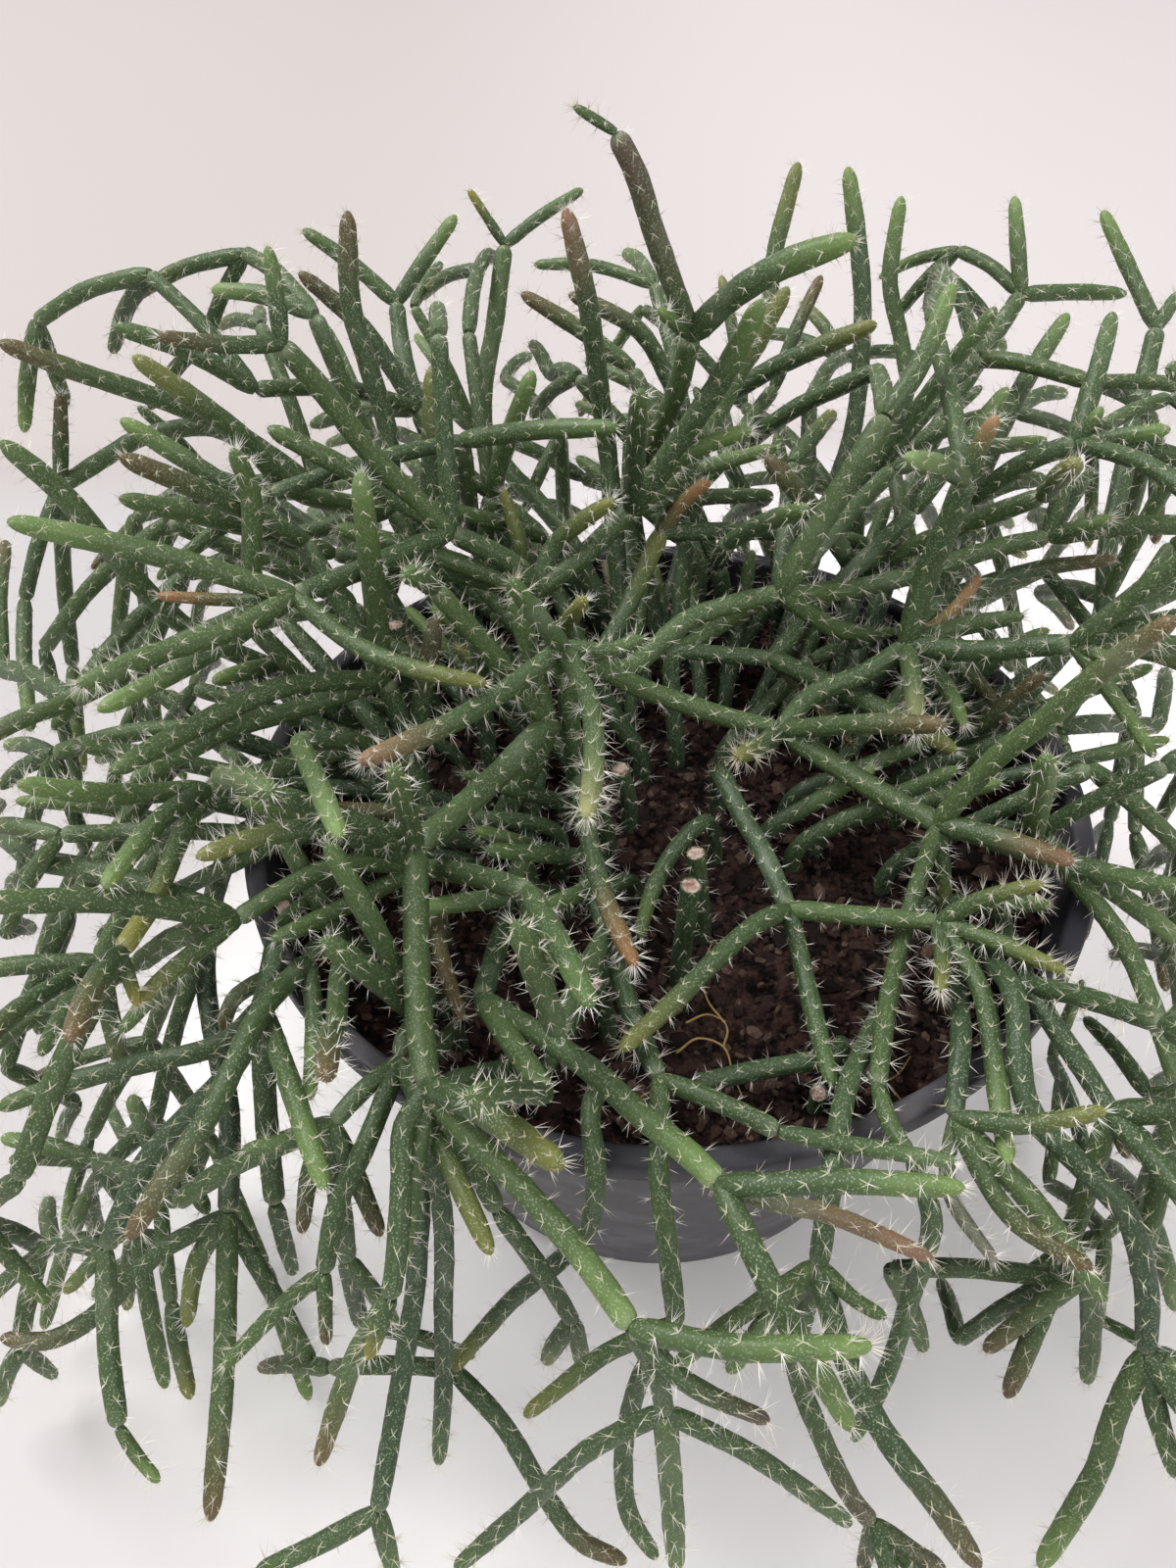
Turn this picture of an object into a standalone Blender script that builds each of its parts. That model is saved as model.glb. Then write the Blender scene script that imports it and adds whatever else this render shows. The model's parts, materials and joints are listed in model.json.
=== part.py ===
"""A mistletoe cactus in a round plastic nursery pot.

Nearly sixty rooted cuttings, each with all the stems that branch from it, stand in plain holes in the
soil, and most arch out over the rim. The stems that face the viewer follow traced routes. The rest grow
from branching ends by a rule with a fixed seed. All stems are then eased apart, so that no cutting
touches another, the pot or the table.

Lengths are in metres, +Z is up, and the pot's base stands on z = 0 with its centre at the origin.
"""
import math
import random

import bmesh
import bpy
import numpy as np

# The pot
RIM_RADIUS = 0.085
POT_HEIGHT = 0.108
FOOT_RADIUS = 0.055
LIP = 0.0025
LIP_HEIGHT = 0.005
WALL = 0.0018
BASE_THICKNESS = 0.0022
FOOT_STEP = 0.0014
FOOT_STEP_HEIGHT = 0.0095
POT_SIDES = 32
SLOT_WIDTH = 0.0034
SLOT_LENGTH = 0.013
SLOT_RADIUS = 0.036
SLOTS = 6
EDGE = 0.0008
BEVEL = 0.0014

# The soil, the lower ends of the stems and the clearance between neighbours
SOIL_TOP = 0.095
ROOT_DEPTH = 0.011
COLLAR = 0.005
FIT = 0.0004
STEM_GAP = 0.0007
BODY_GAP = 0.0008
HOLE_SIDES = 4

# The stems: how a run of stem is built
SECTION_SIDES = 4
SPAN_STEP = 0.012
LEAST_ONWARD = 0.5
ROOT_SINK = 0.5
BRANCH_WAIST = 0.85
TIP_TAPER = 0.72
STRAIGHT_ENOUGH = 0.0005

# The stems that grow by the rule, with their thickness in millimetres, how many each generation carries
# and the space that they stay in
GROWN_STEMS = 214
GROWN_LINKS = 2
SEED = 11
STEM_LENGTHS = (0.028, 0.048)
TRUNK_LENGTHS = (0.026, 0.044)
TRUNK_THICKNESS = 4.3
THICKNESSES = (3.5, 4.3)
THINNER_EACH_TIME = 0.15
BRANCHES = (6, 5, 4, 2)
TRIES = 26
TRUNK_TRIES = 60
GROWING_TURNS = 16
LEAST_ROOM = 0.0054
CLEAR_OF_TABLE = 0.006
CLEAR_OF_RIM = 0.004
PLANT_RADIUS = 0.168
PLANT_TOP = 0.184

# Which way a grown stem sets off: the shares of its parent's heading, of chance and of the way outward,
# the least it may go forward, and how far it bends down
AHEAD_SHARE = 0.6
CHANCE_SHARE = 0.9
OUTWARD_SHARE = 0.2
RISE_OVER_POT = 0.2
LEAST_FORWARD = 0.25
TRUNK_LEAN = (-0.2, 0.8)
TRUNK_SWAY = (-0.4, 0.4)
TRUNK_RISE = (0.9, 1.6)
SLIGHT_DROOP = 0.2
DROOP = 0.5

# How a grown stem's place is scored: room around it counts up to enough, reach past far out costs, and
# it gains where it fills a gap between the stems in the picture, as wide as a wide gap in pixels
ENOUGH_ROOM = 0.016
FAR_OUT = 0.10
FAR_OUT_COST = 0.06
WIDE_GAP = 40.0
GAP_GAIN = 0.010
UNSEEN_GAIN = 0.3

# Easing the stems apart
EASING_TURNS = 260
NEIGHBOUR_REACH = 0.012
LONGEST_LINK = 0.025
BEND_MEMORY = 0.175
LONGEST_PUSH = 0.004
RIM_CROSSING = 0.007

# The place the traced routes were seen from, above and in front of the pot
EYE = np.array((-0.0156, -0.1764, 0.2865))
EYE_PITCH = math.radians(45.35)
EYE_ROLL = math.radians(1.1)
FOCAL_PIXELS = 1250.0
PICTURE_WIDTH = 1200
PICTURE_HEIGHT = 1600

# Where the view past the stems stays open, in picture pixels: onto the soil, onto the table in front of
# the plant and above its skyline. No grown stem comes before a traced one closer than the cover.
SOIL_WINDOW = (
    (690, 850), (850, 860), (1000, 770), (1060, 880), (1000, 1010), (930, 1150),
    (730, 1170), (560, 1150), (600, 1040), (690, 960),
)
WINDOW_DEPTH = 0.015
OPEN_TABLE = 1240
SKYLINE = 255
COVER = 12
COVER_DEPTH = 0.003

# Roots of the cuttings that the traced stems hide
HIDDEN_ROOTS = (
    (-0.012, 0.060), (0.020, 0.052), (-0.043, 0.052), (0.046, 0.049), (-0.057, 0.038),
    (0.036, 0.020), (0.050, 0.006), (-0.066, 0.008),
)

# The traced stems. Each line has the stem's name, what it grows from, its thickness in millimetres and
# the places it passes: pixel x, pixel y and the distance from the eye. It grows from the end of another
# stem, or from a root at x and y on the soil. A stem with a name that starts with cut ends in a cut.
TRACED = (
    ("hub", (-0.018, 0.006), 4.1, ((575, 660, 0.227),)),
    ("hub_stub", "hub", 3.7, ((548, 628, 0.216), (520, 592, 0.204))),
    ("hub_left", "hub", 3.9, ((520, 700, 0.220), (460, 735, 0.211), (365, 775, 0.200))),
    ("hub_front", "hub", 3.6, ((603, 720, 0.213), (606, 780, 0.199), (598, 835, 0.187))),
    ("hub_right", "hub", 4.1, ((655, 702, 0.240), (750, 735, 0.246), (797, 747, 0.247))),
    ("hub_short", "hub", 3.4, ((620, 664, 0.229), (658, 650, 0.230))),
    ("hub_east", "hub", 4.0, ((640, 682, 0.240), (700, 632, 0.247), (793, 602, 0.250))),
    ("under_front", (-0.012, -0.006), 3.7, (
        (592, 800, 0.235), (600, 860, 0.226), (615, 920, 0.218), (645, 990, 0.211))),
    ("back_hub", (-0.026, 0.030), 4.6, ((548, 600, 0.262),)),
    ("back_olive", "back_hub", 3.9, ((570, 555, 0.262), (600, 530, 0.258), (638, 507, 0.254))),
    ("back_long", "back_hub", 4.6, ((600, 565, 0.262), (650, 520, 0.262))),
    ("back_long_top", "back_long", 4.6, ((690, 460, 0.257), (740, 380, 0.249), (778, 303, 0.241))),
    ("back_olive_top", "back_long", 4.2, ((705, 475, 0.268), (760, 370, 0.268), (805, 290, 0.266))),
    ("back_hairy", "back_long", 3.9, ((700, 465, 0.258), (770, 435, 0.252))),
    ("back_low", "back_long", 3.6, ((700, 484, 0.275), (795, 455, 0.280))),
    ("orange_stem", (-0.004, 0.016), 4.0, ((600, 690, 0.258), (625, 640, 0.258), (672, 548, 0.266))),
    ("orange_tip", "orange_stem", 3.5, ((690, 512, 0.266), (712, 485, 0.266))),
    ("east_down", "hub_right", 4.4, ((850, 780, 0.243), (900, 810, 0.239), (958, 840, 0.235))),
    ("east_up", "hub_right", 4.2, ((830, 710, 0.252), (880, 690, 0.254), (925, 660, 0.257))),
    ("east_tip", "hub_right", 4.0, ((775, 762, 0.238), (752, 772, 0.226))),
    ("fan_up", "east_up", 5.0, ((945, 590, 0.253), (970, 530, 0.248), (985, 490, 0.245))),
    ("fan_up_tip", "fan_up", 3.9, ((1000, 455, 0.243), (1017, 425, 0.241))),
    ("fan_right", "east_up", 4.3, ((1000, 665, 0.250), (1050, 660, 0.247), (1095, 657, 0.245))),
    ("fan_right_tip", "fan_right", 3.6, ((1135, 672, 0.243),)),
    ("fan_right_back", "east_up", 4.0, ((980, 640, 0.262), (1045, 628, 0.263))),
    ("fan_down", "east_up", 3.9, ((932, 700, 0.246), (935, 750, 0.236))),
    ("fan_down_right", "east_up", 3.7, ((965, 700, 0.260), (985, 742, 0.257))),
    ("fan_brown", "east_up", 3.1, ((995, 692, 0.270), (1030, 742, 0.272))),
    ("fan_orange", "east_up", 3.1, ((972, 625, 0.266), (1000, 588, 0.270))),
    ("fan_brown_right", "east_up", 3.4, ((965, 612, 0.272), (1060, 580, 0.285), (1138, 570, 0.288))),
    ("rim_right", "east_down", 4.1, ((1000, 850, 0.232), (1050, 865, 0.230), (1097, 880, 0.229))),
    ("rim_right_far", "east_down", 3.8, ((1060, 880, 0.242), (1150, 905, 0.245), (1205, 915, 0.246))),
    ("right_high", "east_down", 4.1, (
        (1010, 780, 0.228), (1060, 740, 0.222), (1130, 680, 0.214), (1200, 630, 0.208))),
    ("right_small", "east_down", 3.4, ((962, 890, 0.240), (965, 940, 0.244))),
    ("right_low", "east_down", 3.4, (
        (935, 905, 0.236), (915, 970, 0.230), (900, 1030, 0.220), (887, 1110, 0.208))),
    ("right_low_end", "right_low", 3.0, ((905, 1150, 0.204), (930, 1180, 0.202))),
    ("right_hang", "right_low_end", 3.3, (
        (950, 1240, 0.208), (930, 1320, 0.226), (905, 1400, 0.238), (870, 1470, 0.248))),
    ("tall_right", "hub_east", 5.0, ((830, 540, 0.247), (870, 480, 0.246), (905, 425, 0.248))),
    ("tall_right_top", "tall_right", 4.1, ((940, 370, 0.253), (972, 290, 0.260))),
    ("flat_right", "hub_east", 4.1, (
        (860, 600, 0.262), (940, 582, 0.272), (1010, 560, 0.278), (1070, 548, 0.281))),
    ("flat_right_tip", "flat_right", 3.6, ((1135, 528, 0.276),)),
    ("arch_right", "hub_east", 4.0, ((850, 640, 0.262), (900, 650, 0.270))),
    ("dry_stem", (0.004, 0.018), 3.8, ((690, 668, 0.262), (740, 668, 0.262), (787, 670, 0.262))),
    ("dry_tip", "dry_stem", 2.5, ((830, 715, 0.264), (870, 760, 0.266))),
    ("cut_near", (0.001, -0.040), 3.8, ((705, 903, 0.2137),)),
    ("cut_behind", (0.006, -0.030), 3.5, ((710, 870, 0.2225),)),
    ("cut_front", (-0.013, -0.052), 3.6, ((605, 1003, 0.2136),)),
    ("cut_lying", (0.028, -0.058), 3.5, ((850, 1075, 0.221), (780, 1085, 0.2175), (712, 1098, 0.215))),
    ("cut_left", (-0.036, 0.006), 3.5, ((487, 650, 0.236),)),
    ("cut_rim", (-0.064, -0.030), 3.6, ((302, 918, 0.231),)),
    ("cut_centre", (-0.007, 0.001), 3.6, ((633, 785, 0.243),)),
    ("cut_back", (0.032, 0.062), 4.2, ((800, 555, 0.298),)),
    ("cut_far_left", (-0.054, 0.022), 3.9, ((400, 640, 0.257),)),
    ("cut_low", (0.023, -0.067), 3.2, ((835, 1115, 0.2185),)),
    ("soil_arch", (0.012, 0.004), 3.9, (
        (735, 790, 0.247), (755, 830, 0.240), (780, 875, 0.233), (803, 930, 0.226))),
    ("soil_back", (0.010, -0.010), 3.3, (
        (720, 838, 0.243), (690, 865, 0.238), (665, 910, 0.234), (652, 958, 0.232))),
    ("arch_left", "soil_arch", 3.5, (
        (770, 945, 0.219), (730, 980, 0.212), (690, 1020, 0.206), (632, 1072, 0.200))),
    ("arch_right_low", "soil_arch", 3.6, ((880, 938, 0.228), (955, 945, 0.230))),
    ("arch_down", "soil_arch", 3.5, (
        (815, 960, 0.227), (830, 1000, 0.225), (850, 1050, 0.219), (875, 1100, 0.212))),
    ("yellow_up", "arch_right_low", 3.2, ((1000, 920, 0.226), (1060, 903, 0.222))),
    ("yellow_down", "arch_right_low", 3.0, ((961, 980, 0.222), (960, 1010, 0.214))),
    ("olive_right", "arch_right_low", 3.2, ((1020, 975, 0.226), (1080, 1010, 0.224))),
    ("light_hang", "arch_right_low", 3.5, ((1000, 1010, 0.224), (1015, 1070, 0.217), (1030, 1185, 0.206))),
    ("front_rise", (-0.014, -0.022), 3.6, (
        (600, 900, 0.230), (620, 950, 0.222), (640, 1020, 0.213), (672, 1100, 0.203))),
    ("front_right", "front_rise", 3.3, ((720, 1120, 0.200), (760, 1140, 0.198), (795, 1160, 0.197))),
    ("front_far_right", "front_right", 2.8, ((860, 1172, 0.198), (975, 1190, 0.200))),
    ("front_hang", "front_rise", 3.3, (
        (674, 1150, 0.197), (672, 1200, 0.194), (680, 1260, 0.197), (690, 1350, 0.210))),
    ("front_hang_left", "front_hang", 3.1, ((620, 1380, 0.220), (560, 1425, 0.231), (535, 1445, 0.235))),
    ("front_hang_low", "front_hang", 3.4, (
        (652, 1410, 0.226), (636, 1490, 0.242), (642, 1545, 0.252), (670, 1590, 0.260))),
    ("near_base", (-0.026, 0.016), 4.1, (
        (545, 790, 0.262), (525, 870, 0.247), (505, 960, 0.230), (490, 1020, 0.216))),
    ("near_arch", "near_base", 3.9, (
        (540, 1050, 0.206), (600, 1090, 0.196), (650, 1135, 0.188), (700, 1175, 0.182),
        (735, 1208, 0.178))),
    ("near_right", "near_arch", 3.4, ((780, 1209, 0.175), (850, 1205, 0.174), (985, 1212, 0.174))),
    ("near_yellow", "near_arch", 2.7, ((790, 1227, 0.181), (850, 1240, 0.185), (952, 1285, 0.193))),
    ("near_down", "near_arch", 3.6, (
        (770, 1280, 0.176), (800, 1340, 0.178), (830, 1390, 0.181), (870, 1460, 0.186))),
    ("left_parent", (-0.034, -0.004), 4.8, (
        (560, 740, 0.238), (510, 790, 0.228), (460, 835, 0.219), (425, 862, 0.214))),
    ("left_vertical", "left_parent", 4.5, ((425, 950, 0.208), (428, 1040, 0.200), (437, 1108, 0.194))),
    ("left_olive", "left_parent", 3.6, ((350, 845, 0.208), (280, 850, 0.204), (200, 875, 0.200))),
    ("near_low", "left_vertical", 3.7, (
        (480, 1160, 0.189), (540, 1220, 0.184), (600, 1290, 0.180), (645, 1355, 0.178))),
    ("left_drop", "left_vertical", 3.4, (
        (412, 1150, 0.193), (410, 1200, 0.193), (405, 1280, 0.195), (398, 1325, 0.198))),
    ("left_drop_tip", "left_drop", 3.0, ((375, 1387, 0.205),)),
    ("low_right", "near_low", 3.4, ((750, 1375, 0.173), (830, 1375, 0.172), (890, 1373, 0.174))),
    ("low_brown", "near_low", 2.8, ((700, 1410, 0.182), (785, 1450, 0.190))),
    ("low_knee", "near_low", 3.1, ((670, 1400, 0.186), (678, 1440, 0.195))),
    ("low_down", "low_knee", 3.6, ((685, 1520, 0.214), (690, 1600, 0.234))),
    ("low_down_right", "low_knee", 3.0, ((760, 1480, 0.205), (820, 1520, 0.218), (868, 1555, 0.230))),
    ("low_down_left", "low_knee", 3.1, ((600, 1480, 0.210), (540, 1535, 0.232), (465, 1600, 0.254))),
    ("brown_left", (-0.044, -0.030), 2.9, ((445, 940, 0.233), (455, 985, 0.224), (475, 1040, 0.214))),
    ("hang_left", (-0.040, -0.054), 3.4, (
        (440, 1100, 0.204), (448, 1160, 0.200), (455, 1230, 0.212), (450, 1330, 0.236),
        (453, 1420, 0.254), (452, 1500, 0.268))),
    ("hang_mid", (-0.013, -0.064), 3.3, (
        (602, 1140, 0.199), (608, 1190, 0.195), (595, 1262, 0.214), (520, 1330, 0.238),
        (455, 1405, 0.252))),
    ("hang_mid_low", "hang_mid", 3.7, (
        (510, 1460, 0.256), (550, 1520, 0.264), (590, 1570, 0.270), (640, 1590, 0.274))),
    ("right_front", (0.036, -0.052), 3.5, ((860, 1120, 0.205), (845, 1215, 0.197), (835, 1290, 0.206))),
    ("right_front_low", "right_front", 3.8, (
        (860, 1380, 0.206), (900, 1460, 0.210), (960, 1540, 0.216), (1000, 1600, 0.222))),
    ("right_front_bud", "right_front", 2.7, ((870, 1325, 0.203), (905, 1345, 0.201))),
    ("purple_hang", "right_front", 3.5, (
        (812, 1395, 0.228), (840, 1470, 0.237), (870, 1530, 0.243), (892, 1555, 0.245))),
    ("purple_end", "purple_hang", 3.5, ((930, 1582, 0.247), (965, 1602, 0.249))),
    ("purple_end_low", "purple_hang", 3.2, ((885, 1580, 0.252), (880, 1604, 0.257))),
    ("left_node", "back_hub", 4.5, ((530, 578, 0.258), (460, 545, 0.252))),
    ("left_up", "left_node", 4.2, ((380, 465, 0.244), (330, 400, 0.238), (288, 352, 0.232))),
    ("left_across", "left_node", 4.1, ((420, 560, 0.246), (380, 577, 0.240), (300, 607, 0.230))),
    ("left_far_hairy", "left_across", 3.7, ((230, 645, 0.222), (150, 670, 0.216), (78, 700, 0.211))),
    ("left_far_low", "left_across", 3.8, ((215, 665, 0.232), (150, 700, 0.228), (100, 725, 0.225))),
    ("left_return", "left_across", 3.5, ((360, 660, 0.224), (420, 690, 0.219), (495, 710, 0.215))),
    ("left_orange", "left_across", 2.5, ((245, 612, 0.236), (160, 608, 0.238))),
    ("left_upright", (-0.058, 0.014), 3.9, (
        (262, 640, 0.250), (255, 580, 0.245), (252, 500, 0.240), (232, 455, 0.234))),
    ("left_a", (-0.050, 0.004), 4.4, ((390, 695, 0.246),)),
    ("left_a_high", "left_a", 3.9, ((290, 700, 0.231), (200, 740, 0.222), (110, 790, 0.214))),
    ("left_a_low", "left_a", 3.9, ((300, 725, 0.242), (230, 745, 0.237), (130, 800, 0.229))),
    ("left_b", (-0.046, -0.010), 4.1, ((405, 762, 0.248), (300, 780, 0.238), (215, 805, 0.229))),
    ("left_b_high", "left_b", 3.8, ((120, 810, 0.220), (20, 800, 0.212))),
    ("left_b_low", "left_b", 3.6, ((190, 850, 0.224), (160, 920, 0.217), (125, 975, 0.212))),
    ("left_b_tip", "left_b_low", 2.6, ((145, 1030, 0.209),)),
    ("left_c", (-0.052, -0.020), 4.0, ((425, 885, 0.232),)),
    ("left_c_high", "left_c", 3.5, ((350, 880, 0.224), (290, 905, 0.220), (238, 938, 0.217))),
    ("left_c_end", "left_c_high", 3.2, ((160, 1000, 0.211), (142, 1020, 0.210))),
    ("left_c_low", "left_c", 3.5, ((350, 930, 0.225), (275, 970, 0.217))),
    ("left_d", (-0.058, -0.036), 3.9, ((318, 985, 0.222),)),
    ("left_d_brown", "left_d", 3.2, ((230, 1010, 0.222), (195, 1045, 0.222))),
    ("left_d_front", "left_d", 3.7, (
        (275, 1050, 0.212), (230, 1150, 0.205), (170, 1240, 0.204), (137, 1285, 0.206))),
    ("left_d_flat", "left_d", 3.7, (
        (230, 1070, 0.230), (140, 1090, 0.236), (60, 1110, 0.240), (0, 1130, 0.244))),
    ("left_d_bright", "left_d", 3.2, ((322, 1050, 0.214), (315, 1125, 0.208))),
    ("left_e", (-0.062, -0.014), 3.8, (
        (285, 1040, 0.219), (255, 1095, 0.226), (150, 1190, 0.234), (105, 1275, 0.238))),
    ("left_e_side", "left_e", 3.1, ((65, 1320, 0.243),)),
    ("left_e_down", "left_e", 3.6, ((110, 1380, 0.239), (122, 1455, 0.241))),
    ("left_e_tip", "left_e_down", 2.5, ((140, 1485, 0.241), (162, 1512, 0.241))),
    ("left_f", (-0.044, -0.046), 3.5, ((412, 1082, 0.207),)),
    ("left_f_side", "left_f", 3.2, ((370, 1115, 0.206), (340, 1145, 0.206))),
    ("left_f_olive", "left_f_side", 2.8, ((300, 1162, 0.204), (248, 1173, 0.203))),
    ("left_f_hang", "left_f_side", 3.1, ((318, 1190, 0.212), (308, 1258, 0.219))),
    ("left_f_front", "left_f", 3.4, ((375, 1170, 0.203), (345, 1230, 0.207), (330, 1298, 0.213))),
    ("left_f_brown", "left_f_front", 2.7, ((333, 1372, 0.221),)),
    ("left_f_end", "left_f_front", 2.9, ((290, 1330, 0.220), (228, 1395, 0.228))),
    ("left_g", (-0.064, -0.004), 4.1, ((215, 1000, 0.262), (235, 1130, 0.252), (232, 1240, 0.246))),
    ("left_g_down", "left_g", 3.9, ((228, 1400, 0.246), (215, 1553, 0.252))),
    ("left_g_side", "left_g", 3.7, ((200, 1290, 0.256), (190, 1355, 0.258))),
    ("left_g_low", "left_g", 3.6, (
        (160, 1280, 0.256), (100, 1340, 0.260), (50, 1368, 0.264), (0, 1365, 0.268))),
    ("left_h", (-0.030, -0.062), 3.6, (
        (440, 1130, 0.203), (436, 1210, 0.207), (430, 1320, 0.228), (415, 1400, 0.237),
        (385, 1535, 0.250))),
    ("left_h_left", "left_h", 3.6, ((320, 1575, 0.256), (262, 1605, 0.262))),
    ("left_h_right", "left_h", 3.6, ((402, 1605, 0.263),)),
    ("left_i_brown", "left_drop", 3.4, ((360, 1390, 0.214), (325, 1495, 0.228))),
    ("top_left_tip", "left_up", 3.3, ((282, 300, 0.232), (273, 252, 0.232))),
    ("top_left_brown", "left_up", 3.1, ((230, 352, 0.228), (160, 343, 0.225))),
    ("top_a", (-0.040, 0.040), 4.6, ((400, 520, 0.282),)),
    ("top_a_olive", "top_a", 4.2, (
        (300, 500, 0.270), (240, 440, 0.263), (180, 395, 0.258), (135, 363, 0.256))),
    ("top_a_high", "top_a", 4.4, ((395, 440, 0.284), (358, 310, 0.282), (355, 215, 0.282))),
    ("top_b", (-0.052, 0.046), 4.6, ((330, 500, 0.300),)),
    ("top_b_left", "top_b", 4.4, ((240, 440, 0.299), (155, 405, 0.297), (80, 380, 0.296), (0, 350, 0.295))),
    ("top_b_far", "top_b", 4.2, ((215, 437, 0.312), (150, 445, 0.318), (62, 497, 0.322))),
    ("top_b_brown", "top_b_far", 3.6, ((62, 450, 0.318), (62, 400, 0.314))),
    ("top_c", (-0.062, 0.030), 4.3, (
        (190, 640, 0.262), (120, 570, 0.255), (60, 500, 0.250), (0, 450, 0.246))),
    ("top_d", (-0.030, 0.056), 4.6, ((420, 420, 0.304),)),
    ("top_d_left", "top_d", 4.2, ((365, 330, 0.304), (305, 275, 0.304))),
    ("top_d_right", "top_d", 4.2, ((408, 360, 0.312), (405, 310, 0.318))),
    ("top_d_fork", "top_d_right", 3.8, ((432, 268, 0.320), (465, 220, 0.322))),
    ("top_d_fork_left", "top_d_right", 3.8, ((360, 270, 0.322), (310, 235, 0.324))),
    ("top_e", (-0.010, 0.066), 4.6, ((495, 440, 0.326), (505, 330, 0.330), (515, 250, 0.335))),
    ("top_e_yellow", "top_e", 2.6, ((478, 193, 0.336),)),
    ("top_e_right", "top_e", 3.2, ((550, 222, 0.338), (595, 193, 0.341))),
    ("top_f", (-0.006, 0.034), 4.3, (
        (620, 460, 0.280), (612, 400, 0.276), (600, 310, 0.271), (577, 212, 0.269))),
    ("top_g", (0.004, 0.044), 4.4, (
        (645, 520, 0.290), (668, 450, 0.272), (690, 400, 0.259), (705, 342, 0.246))),
    ("top_g_brown", "top_g", 4.0, (
        (690, 300, 0.240), (665, 230, 0.234), (650, 180, 0.231), (628, 135, 0.229))),
    ("top_g_tip", "top_g_brown", 2.1, ((585, 108, 0.228),)),
    ("top_g_right", "top_g", 4.9, ((750, 300, 0.237), (800, 270, 0.232), (875, 243, 0.228))),
    ("top_g_bud", "top_g", 3.0, ((672, 316, 0.234),)),
    ("top_h", (0.012, 0.060), 4.6, ((700, 430, 0.318),)),
    ("top_h_left", "top_h", 4.2, ((655, 340, 0.312), (580, 300, 0.310))),
    ("top_h_right", "top_h", 4.6, ((790, 375, 0.304), (895, 330, 0.296))),
    ("top_h_high", "top_h", 4.2, ((775, 350, 0.332), (790, 260, 0.336), (815, 165, 0.340))),
    ("top_i", (0.030, 0.048), 4.6, ((850, 500, 0.318),)),
    ("top_i_up", "top_i", 4.4, ((872, 430, 0.324), (880, 300, 0.328), (865, 170, 0.332))),
    ("top_i_right", "top_i", 4.2, ((925, 400, 0.342), (908, 290, 0.350), (920, 200, 0.353))),
    ("top_j", (0.044, 0.036), 4.6, ((940, 470, 0.318), (1010, 350, 0.338), (1042, 300, 0.346))),
    ("top_j_up", "top_j", 4.0, ((1035, 200, 0.351),)),
    ("top_j_right", "top_j", 4.0, ((1100, 298, 0.352), (1150, 300, 0.356))),
    ("top_k", (0.052, 0.022), 4.6, ((990, 510, 0.284),)),
    ("top_k_right", "top_k", 4.4, ((1050, 470, 0.276), (1100, 452, 0.272))),
    ("top_k_bright", "top_k_right", 3.3, ((1125, 415, 0.270),)),
    ("top_k_light", "top_k_right", 3.7, ((1195, 438, 0.270),)),
    ("top_k_back", "top_k", 4.2, ((1040, 400, 0.310), (1090, 320, 0.325))),
    ("top_l", (0.060, 0.024), 4.6, (
        (1118, 650, 0.304), (1130, 560, 0.312), (1165, 400, 0.330), (1180, 335, 0.338))),
    ("top_l_left", "top_l", 3.8, ((1150, 270, 0.345), (1125, 215, 0.350))),
    ("top_l_right", "top_l", 3.8, ((1203, 298, 0.343),)),
    ("right_a", (0.066, -0.006), 4.1, ((1040, 860, 0.243),)),
    ("right_a_high", "right_a", 3.7, ((1130, 970, 0.244), (1200, 1110, 0.238))),
    ("right_a_side", "right_a", 3.9, ((1150, 935, 0.250), (1205, 975, 0.258))),
    ("right_a_hang", "right_a_high", 3.8, ((1178, 1230, 0.243), (1158, 1310, 0.250))),
    ("right_b", (0.062, -0.026), 3.7, ((1030, 1010, 0.227), (1050, 1040, 0.224), (1130, 1130, 0.222))),
    ("right_b_side", "right_b", 2.9, ((1150, 1180, 0.226),)),
    ("right_c", (0.052, -0.044), 3.5, ((985, 1140, 0.208),)),
    ("right_c_olive", "right_c", 3.1, ((1060, 1150, 0.205), (1145, 1138, 0.203))),
    ("right_c_brown", "right_c", 3.2, ((1040, 1240, 0.209), (1125, 1300, 0.208))),
    ("right_c_grey", "right_c", 2.5, ((975, 1215, 0.212), (1018, 1290, 0.218))),
    ("right_d", (0.058, -0.036), 3.9, (
        (1040, 1130, 0.214), (1090, 1190, 0.215), (1140, 1240, 0.220), (1165, 1310, 0.229),
        (1170, 1380, 0.240))),
    ("right_d_low", "right_d", 4.1, ((1140, 1440, 0.247), (1120, 1500, 0.254), (1060, 1600, 0.266))),
    ("right_d_side", "right_d", 3.7, ((1180, 1440, 0.245), (1202, 1510, 0.252))),
    ("right_d_far", "right_d", 3.4, ((1205, 1400, 0.240),)),
)

# Rooted stems of which the picture shows more than a glimpse
SHOWN_ROOTED = (
    "under_front", "soil_arch", "near_base", "left_parent", "orange_stem", "front_rise", "brown_left",
    "hang_left", "hang_mid", "right_front", "left_upright", "top_e", "top_f", "top_l", "dry_stem",
    "right_d", "right_b", "left_g", "left_h", "top_c", "soil_back", "cut_near", "cut_behind",
    "cut_front", "cut_lying", "cut_left", "cut_rim", "cut_centre",
)

# Branching ends that carry no more stems than the picture shows
FULL_ENDS = ("hub", "soil_arch", "arch_right_low", "top_g", "top_e", "top_d_right")


def wall_radius(height):
    """Outer radius of the pot's tapered wall at a height."""
    share = np.clip(height / (POT_HEIGHT - LIP_HEIGHT), 0.0, 1.0)
    return FOOT_RADIUS + (RIM_RADIUS - LIP - FOOT_RADIUS) * share


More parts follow.
